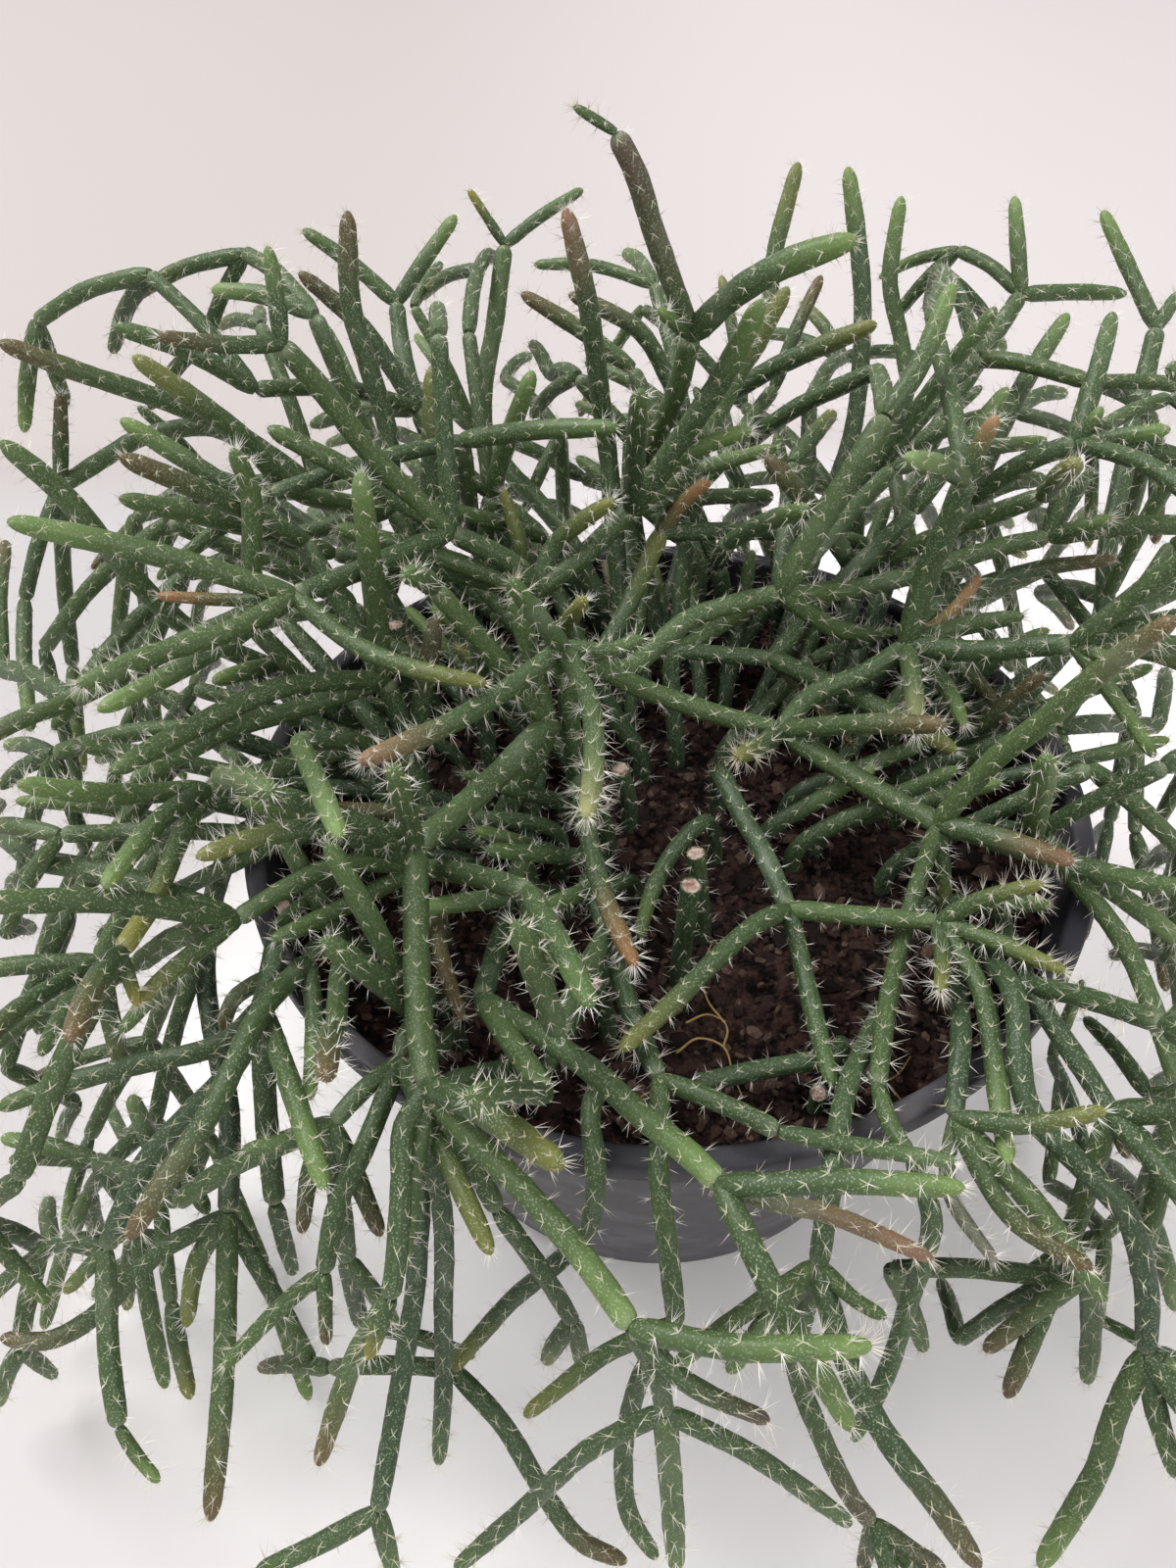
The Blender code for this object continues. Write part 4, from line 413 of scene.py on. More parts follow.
TRACED = read_routes("""
hub -.018,.006 4.1 575,660,.227
hub_stub hub 3.7 548,628,.216 520,592,.204
hub_left hub 3.9 520,700,.22 460,735,.211 365,775,.2
hub_front hub 3.6 603,720,.213 606,780,.199 598,835,.187
hub_right hub 4.1 655,702,.24 750,735,.246 797,747,.247
hub_short hub 3.4 620,664,.229 658,650,.23
hub_east hub 4.0 640,682,.24 700,632,.247 793,602,.25
under_front -.012,-.006 3.7 592,800,.235 600,860,.226 615,920,.218 645,990,.211
back_hub -.026,.03 4.6 548,600,.262
back_olive back_hub 3.9 570,555,.262 600,530,.258 638,507,.254
back_long back_hub 4.6 600,565,.262 650,520,.262
back_long_top back_long 4.6 690,460,.257 740,380,.249 778,303,.241
back_olive_top back_long 4.2 705,475,.268 760,370,.268 805,290,.266
back_hairy back_long 3.9 700,465,.258 770,435,.252
back_low back_long 3.6 700,484,.275 795,455,.28
orange_stem -.004,.016 4.0 600,690,.258 625,640,.258 672,548,.266
orange_tip orange_stem 3.5 690,512,.266 712,485,.266
east_down hub_right 4.4 850,780,.243 900,810,.239 958,840,.235
east_up hub_right 4.2 830,710,.252 880,690,.254 925,660,.257
east_tip hub_right 4.0 775,762,.238 752,772,.226
fan_up east_up 5.0 945,590,.253 970,530,.248 985,490,.245
fan_up_tip fan_up 3.9 1000,455,.243 1017,425,.241
fan_right east_up 4.3 1000,665,.25 1050,660,.247 1095,657,.245
fan_right_tip fan_right 3.6 1135,672,.243
fan_right_back east_up 4.0 980,640,.262 1045,628,.263
fan_down east_up 3.9 932,700,.246 935,750,.236
fan_down_right east_up 3.7 965,700,.26 985,742,.257
fan_brown east_up 3.1 995,692,.27 1030,742,.272
fan_orange east_up 3.1 972,625,.266 1000,588,.27
fan_brown_right east_up 3.4 965,612,.272 1060,580,.285 1138,570,.288
rim_right east_down 4.1 1000,850,.232 1050,865,.23 1097,880,.229
rim_right_far east_down 3.8 1060,880,.242 1150,905,.245 1205,915,.246
right_high east_down 4.1 1010,780,.228 1060,740,.222 1130,680,.214 1200,630,.208
right_small east_down 3.4 962,890,.24 965,940,.244
right_low east_down 3.4 935,905,.236 915,970,.23 900,1030,.22 887,1110,.208
right_low_end right_low 3.0 905,1150,.204 930,1180,.202
right_hang right_low_end 3.3 950,1240,.208 930,1320,.226 905,1400,.238 870,1470,.248
tall_right hub_east 5.0 830,540,.247 870,480,.246 905,425,.248
tall_right_top tall_right 4.1 940,370,.253 972,290,.26
flat_right hub_east 4.1 860,600,.262 940,582,.272 1010,560,.278 1070,548,.281
flat_right_tip flat_right 3.6 1135,528,.276
arch_right hub_east 4.0 850,640,.262 900,650,.27
dry_stem .004,.018 3.8 690,668,.262 740,668,.262 787,670,.262
dry_tip dry_stem 2.5 830,715,.264 870,760,.266
cut_near .001,-.04 3.8 705,903,.2137
cut_behind .006,-.03 3.5 710,870,.2225
cut_front -.013,-.052 3.6 605,1003,.2136
cut_lying .028,-.058 3.5 850,1075,.221 780,1085,.2175 712,1098,.215
cut_left -.036,.006 3.5 487,650,.236
cut_rim -.064,-.03 3.6 302,918,.231
cut_centre -.007,.001 3.6 633,785,.243
cut_back .032,.062 4.2 800,555,.298
cut_far_left -.054,.022 3.9 400,640,.257
cut_low .023,-.067 3.2 835,1115,.2185
soil_arch .012,.004 3.9 735,790,.247 755,830,.24 780,875,.233 803,930,.226
soil_back .01,-.01 3.3 720,838,.243 690,865,.238 665,910,.234 652,958,.232
arch_left soil_arch 3.5 770,945,.219 730,980,.212 690,1020,.206 632,1072,.2
arch_right_low soil_arch 3.6 880,938,.228 955,945,.23
arch_down soil_arch 3.5 815,960,.227 830,1000,.225 850,1050,.219 875,1100,.212
yellow_up arch_right_low 3.2 1000,920,.226 1060,903,.222
yellow_down arch_right_low 3.0 961,980,.222 960,1010,.214
olive_right arch_right_low 3.2 1020,975,.226 1080,1010,.224
light_hang arch_right_low 3.5 1000,1010,.224 1015,1070,.217 1030,1185,.206
front_rise -.014,-.022 3.6 600,900,.23 620,950,.222 640,1020,.213 672,1100,.203
front_right front_rise 3.3 720,1120,.2 760,1140,.198 795,1160,.197
front_far_right front_right 2.8 860,1172,.198 975,1190,.2
front_hang front_rise 3.3 674,1150,.197 672,1200,.194 680,1260,.197 690,1350,.21
front_hang_left front_hang 3.1 620,1380,.22 560,1425,.231 535,1445,.235
front_hang_low front_hang 3.4 652,1410,.226 636,1490,.242 642,1545,.252 670,1590,.26
near_base -.026,.016 4.1 545,790,.262 525,870,.247 505,960,.23 490,1020,.216
near_arch near_base 3.9 540,1050,.206 600,1090,.196 650,1135,.188 700,1175,.182 735,1208,.178
near_right near_arch 3.4 780,1209,.175 850,1205,.174 985,1212,.174
near_yellow near_arch 2.7 790,1227,.181 850,1240,.185 952,1285,.193
near_down near_arch 3.6 770,1280,.176 800,1340,.178 830,1390,.181 870,1460,.186
left_parent -.034,-.004 4.8 560,740,.238 510,790,.228 460,835,.219 425,862,.214
left_vertical left_parent 4.5 425,950,.208 428,1040,.2 437,1108,.194
left_olive left_parent 3.6 350,845,.208 280,850,.204 200,875,.2
near_low left_vertical 3.7 480,1160,.189 540,1220,.184 600,1290,.18 645,1355,.178
left_drop left_vertical 3.4 412,1150,.193 410,1200,.193 405,1280,.195 398,1325,.198
left_drop_tip left_drop 3.0 375,1387,.205
low_right near_low 3.4 750,1375,.173 830,1375,.172 890,1373,.174
low_brown near_low 2.8 700,1410,.182 785,1450,.19
low_knee near_low 3.1 670,1400,.186 678,1440,.195
low_down low_knee 3.6 685,1520,.214 690,1600,.234
low_down_right low_knee 3.0 760,1480,.205 820,1520,.218 868,1555,.23
low_down_left low_knee 3.1 600,1480,.21 540,1535,.232 465,1600,.254
brown_left -.044,-.03 2.9 445,940,.233 455,985,.224 475,1040,.214
hang_left -.04,-.054 3.4 440,1100,.204 448,1160,.2 455,1230,.212 450,1330,.236 453,1420,.254 452,1500,.268
hang_mid -.013,-.064 3.3 602,1140,.199 608,1190,.195 595,1262,.214 520,1330,.238 455,1405,.252
hang_mid_low hang_mid 3.7 510,1460,.256 550,1520,.264 590,1570,.27 640,1590,.274
right_front .036,-.052 3.5 860,1120,.205 845,1215,.197 835,1290,.206
right_front_low right_front 3.8 860,1380,.206 900,1460,.21 960,1540,.216 1000,1600,.222
right_front_bud right_front 2.7 870,1325,.203 905,1345,.201
purple_hang right_front 3.5 812,1395,.228 840,1470,.237 870,1530,.243 892,1555,.245
purple_end purple_hang 3.5 930,1582,.247 965,1602,.249
purple_end_low purple_hang 3.2 885,1580,.252 880,1604,.257
left_node back_hub 4.5 530,578,.258 460,545,.252
left_up left_node 4.2 380,465,.244 330,400,.238 288,352,.232
left_across left_node 4.1 420,560,.246 380,577,.24 300,607,.23
left_far_hairy left_across 3.7 230,645,.222 150,670,.216 78,700,.211
left_far_low left_across 3.8 215,665,.232 150,700,.228 100,725,.225
left_return left_across 3.5 360,660,.224 420,690,.219 495,710,.215
left_orange left_across 2.5 245,612,.236 160,608,.238
left_upright -.058,.014 3.9 262,640,.25 255,580,.245 252,500,.24 232,455,.234
left_a -.05,.004 4.4 390,695,.246
left_a_high left_a 3.9 290,700,.231 200,740,.222 110,790,.214
left_a_low left_a 3.9 300,725,.242 230,745,.237 130,800,.229
left_b -.046,-.01 4.1 405,762,.248 300,780,.238 215,805,.229
left_b_high left_b 3.8 120,810,.22 20,800,.212
left_b_low left_b 3.6 190,850,.224 160,920,.217 125,975,.212
left_b_tip left_b_low 2.6 145,1030,.209
left_c -.052,-.02 4.0 425,885,.232
left_c_high left_c 3.5 350,880,.224 290,905,.22 238,938,.217
left_c_end left_c_high 3.2 160,1000,.211 142,1020,.21
left_c_low left_c 3.5 350,930,.225 275,970,.217
left_d -.058,-.036 3.9 318,985,.222
left_d_brown left_d 3.2 230,1010,.222 195,1045,.222
left_d_front left_d 3.7 275,1050,.212 230,1150,.205 170,1240,.204 137,1285,.206
left_d_flat left_d 3.7 230,1070,.23 140,1090,.236 60,1110,.24 0,1130,.244
left_d_bright left_d 3.2 322,1050,.214 315,1125,.208
left_e -.062,-.014 3.8 285,1040,.219 255,1095,.226 150,1190,.234 105,1275,.238
left_e_side left_e 3.1 65,1320,.243
left_e_down left_e 3.6 110,1380,.239 122,1455,.241
left_e_tip left_e_down 2.5 140,1485,.241 162,1512,.241
left_f -.044,-.046 3.5 412,1082,.207
left_f_side left_f 3.2 370,1115,.206 340,1145,.206
left_f_olive left_f_side 2.8 300,1162,.204 248,1173,.203
left_f_hang left_f_side 3.1 318,1190,.212 308,1258,.219
left_f_front left_f 3.4 375,1170,.203 345,1230,.207 330,1298,.213
left_f_brown left_f_front 2.7 333,1372,.221
left_f_end left_f_front 2.9 290,1330,.22 228,1395,.228
left_g -.064,-.004 4.1 215,1000,.262 235,1130,.252 232,1240,.246
left_g_down left_g 3.9 228,1400,.246 215,1553,.252
left_g_side left_g 3.7 200,1290,.256 190,1355,.258
left_g_low left_g 3.6 160,1280,.256 100,1340,.26 50,1368,.264 0,1365,.268
left_h -.03,-.062 3.6 440,1130,.203 436,1210,.207 430,1320,.228 415,1400,.237 385,1535,.25
left_h_left left_h 3.6 320,1575,.256 262,1605,.262
left_h_right left_h 3.6 402,1605,.263
left_i_brown left_drop 3.4 360,1390,.214 325,1495,.228
top_left_tip left_up 3.3 282,300,.232 273,252,.232
top_left_brown left_up 3.1 230,352,.228 160,343,.225
top_a -.04,.04 4.6 400,520,.282
top_a_olive top_a 4.2 300,500,.27 240,440,.263 180,395,.258 135,363,.256
top_a_high top_a 4.4 395,440,.284 358,310,.282 355,215,.282
top_b -.052,.046 4.6 330,500,.3
top_b_left top_b 4.4 240,440,.299 155,405,.297 80,380,.296 0,350,.295
top_b_far top_b 4.2 215,437,.312 150,445,.318 62,497,.322
top_b_brown top_b_far 3.6 62,450,.318 62,400,.314
top_c -.062,.03 4.3 190,640,.262 120,570,.255 60,500,.25 0,450,.246
top_d -.03,.056 4.6 420,420,.304
top_d_left top_d 4.2 365,330,.304 305,275,.304
top_d_right top_d 4.2 408,360,.312 405,310,.318
top_d_fork top_d_right 3.8 432,268,.32 465,220,.322
top_d_fork_left top_d_right 3.8 360,270,.322 310,235,.324
top_e -.01,.066 4.6 495,440,.326 505,330,.33 515,250,.335
top_e_yellow top_e 2.6 478,193,.336
top_e_right top_e 3.2 550,222,.338 595,193,.341
top_f -.006,.034 4.3 620,460,.28 612,400,.276 600,310,.271 577,212,.269
top_g .004,.044 4.4 645,520,.29 668,450,.272 690,400,.259 705,342,.246
top_g_brown top_g 4.0 690,300,.24 665,230,.234 650,180,.231 628,135,.229
top_g_tip top_g_brown 2.1 585,108,.228
top_g_right top_g 4.9 750,300,.237 800,270,.232 875,243,.228
top_g_bud top_g 3.0 672,316,.234
top_h .012,.06 4.6 700,430,.318
top_h_left top_h 4.2 655,340,.312 580,300,.31
top_h_right top_h 4.6 790,375,.304 895,330,.296
top_h_high top_h 4.2 775,350,.332 790,260,.336 815,165,.34
top_i .03,.048 4.6 850,500,.318
top_i_up top_i 4.4 872,430,.324 880,300,.328 865,170,.332
top_i_right top_i 4.2 925,400,.342 908,290,.35 920,200,.353
top_j .044,.036 4.6 940,470,.318 1010,350,.338 1042,300,.346
top_j_up top_j 4.0 1035,200,.351
top_j_right top_j 4.0 1100,298,.352 1150,300,.356
top_k .052,.022 4.6 990,510,.284
top_k_right top_k 4.4 1050,470,.276 1100,452,.272
top_k_bright top_k_right 3.3 1125,415,.27
top_k_light top_k_right 3.7 1195,438,.27
top_k_back top_k 4.2 1040,400,.31 1090,320,.325
top_l .06,.024 4.6 1118,650,.304 1130,560,.312 1165,400,.33 1180,335,.338
top_l_left top_l 3.8 1150,270,.345 1125,215,.35
top_l_right top_l 3.8 1203,298,.343
right_a .066,-.006 4.1 1040,860,.243
right_a_high right_a 3.7 1130,970,.244 1200,1110,.238
right_a_side right_a 3.9 1150,935,.25 1205,975,.258
right_a_hang right_a_high 3.8 1178,1230,.243 1158,1310,.25
right_b .062,-.026 3.7 1030,1010,.227 1050,1040,.224 1130,1130,.222
right_b_side right_b 2.9 1150,1180,.226
right_c .052,-.044 3.5 985,1140,.208
right_c_olive right_c 3.1 1060,1150,.205 1145,1138,.203
right_c_brown right_c 3.2 1040,1240,.209 1125,1300,.208
right_c_grey right_c 2.5 975,1215,.212 1018,1290,.218
right_d .058,-.036 3.9 1040,1130,.214 1090,1190,.215 1140,1240,.22 1165,1310,.229 1170,1380,.24
right_d_low right_d 4.1 1140,1440,.247 1120,1500,.254 1060,1600,.266
right_d_side right_d 3.7 1180,1440,.245 1202,1510,.252
right_d_far right_d 3.4 1205,1400,.24
""")

# Rooted stems of which the picture shows more than a glimpse
SHOWN_ROOTED = (
    "under_front", "soil_arch", "near_base", "left_parent", "orange_stem", "front_rise", "brown_left",
    "hang_left", "hang_mid", "right_front", "left_upright", "top_e", "top_f", "top_l", "dry_stem",
    "right_d", "right_b", "left_g", "left_h", "top_c", "soil_back", "cut_near", "cut_behind",
    "cut_front", "cut_lying", "cut_left", "cut_rim", "cut_centre",
)

# Branching ends that carry no more stems than the picture shows
FULL_ENDS = ("hub", "soil_arch", "arch_right_low", "top_g", "top_e", "top_d_right")


def wall_radius(height):
    """Outer radius of the pot's tapered wall at a height."""
    share = np.clip(height / (POT_HEIGHT - LIP_HEIGHT), 0.0, 1.0)
    return FOOT_RADIUS + (RIM_RADIUS - LIP - FOOT_RADIUS) * share


def seen_place(pixel_x, pixel_y, distance):
    """The place that shows at a pixel, at a distance from the eye."""
    right = (pixel_x - PICTURE_WIDTH / 2) / FOCAL_PIXELS
    up = (PICTURE_HEIGHT / 2 - pixel_y) / FOCAL_PIXELS
    across = right * math.cos(EYE_ROLL) + up * math.sin(EYE_ROLL)
    rise = up * math.cos(EYE_ROLL) - right * math.sin(EYE_ROLL)
    ray = np.array((
        across,
        math.cos(EYE_PITCH) + rise * math.sin(EYE_PITCH),
        rise * math.cos(EYE_PITCH) - math.sin(EYE_PITCH),
    ))
    return EYE + ray * (distance / math.sqrt(float(ray @ ray)))


def picture_of(places):
    """Pixel x, pixel y and distance from the eye of each place."""
    offset = np.asarray(places) - EYE
    across = offset[:, 0]
    rise = offset[:, 1] * math.sin(EYE_PITCH) + offset[:, 2] * math.cos(EYE_PITCH)
    ahead = offset[:, 1] * math.cos(EYE_PITCH) - offset[:, 2] * math.sin(EYE_PITCH)
    right = across * math.cos(EYE_ROLL) - rise * math.sin(EYE_ROLL)
    up = across * math.sin(EYE_ROLL) + rise * math.cos(EYE_ROLL)
    return (
        PICTURE_WIDTH / 2 + FOCAL_PIXELS * right / ahead,
        PICTURE_HEIGHT / 2 - FOCAL_PIXELS * up / ahead,
        np.sqrt((offset ** 2).sum(axis=1)),
    )


def length_of(vector):
    return math.sqrt(float(vector @ vector))


def apart(places, place):
    """How far each of the places is from one place."""
    return np.sqrt(((places - place) ** 2).sum(axis=1))


def outward_at(place):
    """How far a place is from the pot's axis, and the level direction away from the axis."""
    out = math.hypot(place[0], place[1])
    return out, np.array((place[0], place[1], 0.0)) / max(out, 1e-6)


def random_way(draw):
    """A direction, as likely to point any way as any other."""
    wild = np.array((draw.gauss(0, 1), draw.gauss(0, 1), draw.gauss(0, 1)))
    return wild / length_of(wild)


def carried_by(stems):
    """How many stems each stem carries, by its number."""
    carried = {}
    for stem in stems:
        carried[stem["parent"]] = carried.get(stem["parent"], 0) + 1
    return carried


def smooth_route(places, step):
    """Points about a step apart on a smooth curve through the given places."""
    places = [np.asarray(place, float) for place in places]
    full = [2 * places[0] - places[1]] + places + [2 * places[-1] - places[-2]]
    route = [places[0]]
    for before, start, end, after in zip(full, full[1:], full[2:], full[3:]):
        span = length_of(end - start)
        leave = (end - before) / (span + length_of(start - before)) * span
        arrive = (after - start) / (span + length_of(after - end)) * span
        count = max(1, int(round(span / step)))
        for number in range(1, count + 1):
            t = number / count
            route.append(
                (2 * t ** 3 - 3 * t ** 2 + 1) * start
                + (t ** 3 - 2 * t ** 2 + t) * leave
                + (3 * t ** 2 - 2 * t ** 3) * end
                + (t ** 3 - t ** 2) * arrive
            )
    return route


class Plant:
    """Points and the stems that run through them. A stem starts on a point of the stem it grows from."""

    def __init__(self):
        self.points = []
        self.give = []
        self.stems = []
        self.number = {}
        self.cuttings = 0

    def add_point(self, place, give):
        self.points.append(np.asarray(place, float))
        self.give.append(give)
        return len(self.points) - 1

    def add_stem(self, name, parent, at, thickness, route, give):
        """A stem along a route, whose first place is its root or the branching point it grows from."""
        if parent is None:
            x, y = route[0][:2]
            chain = [
                self.add_point((x, y, SOIL_TOP - ROOT_DEPTH), 0.0),
                self.add_point((x, y, SOIL_TOP + COLLAR), 0.0),
            ]
            cutting = self.cuttings
            self.cuttings += 1
        else:
            chain = [self.stems[parent]["chain"][at]]
            cutting = self.stems[parent]["cutting"]
        chain += [self.add_point(place, give) for place in route[1:]]
        self.number[name] = len(self.stems)
        self.stems.append({
            "name": name,
            "chain": chain,
            "cutting": cutting,
            "radius": thickness / 2000,
            "parent": parent,
        })

    def route(self, stem):
        return [self.points[index] for index in stem["chain"]]


def add_traced_stems(plant):
    """The stems along the traced routes."""
    for name, start, thickness, places in TRACED:
        route = [seen_place(*place) for place in places]
        if isinstance(start, str):
            parent = plant.number[start]
            root = plant.points[plant.stems[parent]["chain"][-1]]
        else:
            parent = None
            root = np.array((start[0], start[1], SOIL_TOP + COLLAR))
            route = over_rim(root, route)
        plant.add_stem(name, parent, -1, thickness, smooth_route([root] + route, SPAN_STEP), 0.5)


def over_rim(root, route):
    """A rooted stem that leaves the pot first passes a place above the rim."""
    inside = math.hypot(root[0], root[1])
    outside = math.hypot(route[0][0], route[0][1])
    if outside < RIM_RADIUS - LIP_HEIGHT:
        return route
    share = min(max((RIM_RADIUS - LIP - inside) / (outside - inside), 0.25), 0.9)
    crossing = root + (route[0] - root) * share
    crossing[2] = max(POT_HEIGHT + RIM_CROSSING, crossing[2])
    return [crossing] + route


def along(route):
    """Closely spaced places on a route."""
    places = []
    for start, end in zip(route, route[1:]):
        places += [start + (end - start) * share for share in (0.0, 0.25, 0.5, 0.75, 1.0)]
    return places


def in_outline(x, y, outline):
    """True where a pixel lies inside an outline of pixels."""
    inside = False
    for (x1, y1), (x2, y2) in zip(outline, outline[1:] + outline[:1]):
        if (y1 > y) != (y2 > y) and x < x1 + (x2 - x1) * (y - y1) / (y2 - y1):
            inside = not inside
    return inside


def drooping(start, direction, length, droop):
    """The places of a stem that sets off in a direction and bends down under its weight."""
    heading = direction / length_of(direction)
    route = [start]
    for _ in range(GROWN_LINKS):
        heading = heading - np.array((0.0, 0.0, droop / GROWN_LINKS))
        heading = heading / length_of(heading)
        route.append(route[-1] + heading * (length / GROWN_LINKS))
    return route


def room_around(route, crowd, shown):
    """How far a new stem would keep from the others, or 0 where it may not go."""
    ends = np.array(route[1:])
    middles = (np.array(route[1:]) + np.array(route[:-1])) / 2
    places = np.vstack((ends, middles))
    out = np.hypot(places[:, 0], places[:, 1])
    high = places[:, 2]
    if high.min() < CLEAR_OF_TABLE or high.max() > PLANT_TOP or out.max() > PLANT_RADIUS:
        return 0.0
    above_soil = (high > SOIL_TOP + CLEAR_OF_RIM) & (out < RIM_RADIUS - LIP - WALL - CLEAR_OF_TABLE)
    if ((high < POT_HEIGHT + CLEAR_OF_RIM) & (out < RIM_RADIUS + CLEAR_OF_RIM) & ~above_soil).any():
        return 0.0
    pixel_x, pixel_y, distance = picture_of(places)
    for x, y, place in zip(pixel_x, pixel_y, places):
        if 0 < x < PICTURE_WIDTH and (y < SKYLINE or OPEN_TABLE < y < PICTURE_HEIGHT):
            return 0.0
        if place[1] < WINDOW_DEPTH and in_outline(x, y, SOIL_WINDOW):
            return 0.0
    shown_x, shown_y, shown_distance = shown
    for x, y, far in zip(pixel_x, pixel_y, distance):
        near = (abs(shown_x - x) < COVER) & (abs(shown_y - y) < COVER)
        if (near & (shown_distance > far + COVER_DEPTH)).any():
            return 0.0
    tested = np.vstack((ends[1:], middles[1:]))
    apart = np.sqrt(((crowd[None] - tested[:, None]) ** 2).sum(axis=2))
    if apart.min() < LEAST_ROOM:
        return 0.0
    return float(apart.min(axis=1).mean())


def gap_filled(route, crowd):
    """How much of a gap between the stems in the picture a new stem would fill, from 0 to 1."""
    crowd_x, crowd_y, _ = picture_of(crowd)
    gain = []
    for x, y in zip(*picture_of(np.array(route[1:]))[:2]):
        if 0 < x < PICTURE_WIDTH and SKYLINE < y < OPEN_TABLE:
            nearest = np.hypot(crowd_x - x, crowd_y - y).min()
            gain.append(min(nearest / WIDE_GAP, 1.0))
        else:
            gain.append(UNSEEN_GAIN)
    return sum(gain) / len(gain)


def grow_hidden_stems(plant):
    """Fill the plant behind and below the traced stems.

    New cuttings stand on the hidden roots. Then every branching end gets more stems in turns. Each is the
    best placed of some random tries that hide no traced stem, and may carry stems of its own.
    """
    draw = random.Random(SEED)
    crowd = []
    shown = []
    for stem in plant.stems:
        route = plant.route(stem)
        rooted = stem["parent"] is None
        crowd += along(route[1:] if rooted else route)
        if not rooted or stem["name"] in SHOWN_ROOTED:
            shown += along(route[2:] if rooted else route)
    crowd = np.array(crowd)
    shown = picture_of(np.array(shown))

    carried = carried_by(plant.stems)
    ends = []
    for number, stem in enumerate(plant.stems):
        if number in carried and stem["name"] not in FULL_ENDS:
            ends.append((number, -1))
            if stem["parent"] is None and len(stem["chain"]) > 4:
                ends.append((number, len(stem["chain"]) // 2 - len(stem["chain"])))
    order = {}
    grown = 0

    for x, y in HIDDEN_ROOTS:
        collar = np.array((x, y, SOIL_TOP + COLLAR))
        _, outward = outward_at(collar)
        best = None
        most = 0.0
        for _ in range(TRUNK_TRIES):
            lean = outward * draw.uniform(*TRUNK_LEAN)
            sway = [draw.uniform(*TRUNK_SWAY), draw.uniform(*TRUNK_SWAY), draw.uniform(*TRUNK_RISE)]
            route = drooping(collar, lean + np.array(sway), draw.uniform(*TRUNK_LENGTHS), SLIGHT_DROOP)
            room = room_around(route, crowd, shown)
            if room > most:
                best = route
                most = room
        if best is None:
            continue
        plant.add_stem("hidden_%d" % grown, None, 0, TRUNK_THICKNESS, best, 1.0)
        number = len(plant.stems) - 1
        crowd = np.vstack((crowd, along(plant.route(plant.stems[number]))))
        ends.append((number, -1))
        order[number] = 0
        grown += 1

    added = {}
    for _ in range(GROWING_TURNS):
        turn = list(ends)
        draw.shuffle(turn)
        for end in turn:
            number, at = end
            generation = order.get(number, 0)
            have = added.get(end, 0)
            if at == -1 and generation == 0:
                have += carried.get(number, 0)
            if grown >= GROWN_STEMS or have >= BRANCHES[generation]:
                continue
            chain = plant.stems[number]["chain"]
            start = plant.points[chain[at]]
            heading = start - plant.points[chain[at - 1]]
            heading = heading / length_of(heading)
            out, outward = outward_at(start)
            best = None
            most = 0.0
            thickness = 0.0
            for _ in range(TRIES):
                chance = random_way(draw) * CHANCE_SHARE
                direction = heading * AHEAD_SHARE + chance + outward * OUTWARD_SHARE
                direction[2] += RISE_OVER_POT if out < RIM_RADIUS else 0.0
                direction = direction / length_of(direction)
                if direction @ heading < LEAST_FORWARD:
                    continue
                droop = SLIGHT_DROOP if out < RIM_RADIUS else DROOP
                length = draw.uniform(*STEM_LENGTHS)
                across = draw.uniform(*THICKNESSES) - THINNER_EACH_TIME * generation
                route = drooping(start, direction, length, droop)
                room = room_around(route, crowd, shown)
                reach = math.hypot(route[-1][0], route[-1][1])
                if room == 0:
                    continue
                score = min(room, ENOUGH_ROOM) - FAR_OUT_COST * max(reach - FAR_OUT, 0.0)
                score += GAP_GAIN * gap_filled(route, crowd)
                if score > most:
                    best = route
                    most = score
                    thickness = across
            if best is None:
                continue
            plant.add_stem("grown_%d" % grown, number, at, thickness, best, 1.0)
            newest = len(plant.stems) - 1
            crowd = np.vstack((crowd, along(plant.route(plant.stems[newest]))))
            order[newest] = generation + 1
            added[end] = added.get(end, 0) + 1
            if generation + 1 < len(BRANCHES):
                ends.append((newest, -1))
            grown += 1


def nearest_on_links(start_1, end_1, start_2, end_2):
    """Shares along pairs of links at which the two lie nearest to each other."""
    run_1 = end_1 - start_1
    run_2 = end_2 - start_2
    between = start_1 - start_2
    long_1 = (run_1 * run_1).sum(axis=1)
    long_2 = (run_2 * run_2).sum(axis=1)
    cross = (run_1 * run_2).sum(axis=1)
    lead_1 = (run_1 * between).sum(axis=1)
    lead_2 = (run_2 * between).sum(axis=1)
    spread = long_1 * long_2 - cross * cross
    share_1 = np.where(
        spread > 1e-18,
        np.clip((cross * lead_2 - lead_1 * long_2) / np.maximum(spread, 1e-18), 0, 1),
        0.5,
    )
    free = (cross * share_1 + lead_2) / long_2
    share_2 = np.clip(free, 0, 1)
    share_1 = np.where(free != share_2, np.clip((cross * share_2 - lead_1) / long_1, 0, 1), share_1)
    return share_1, share_2


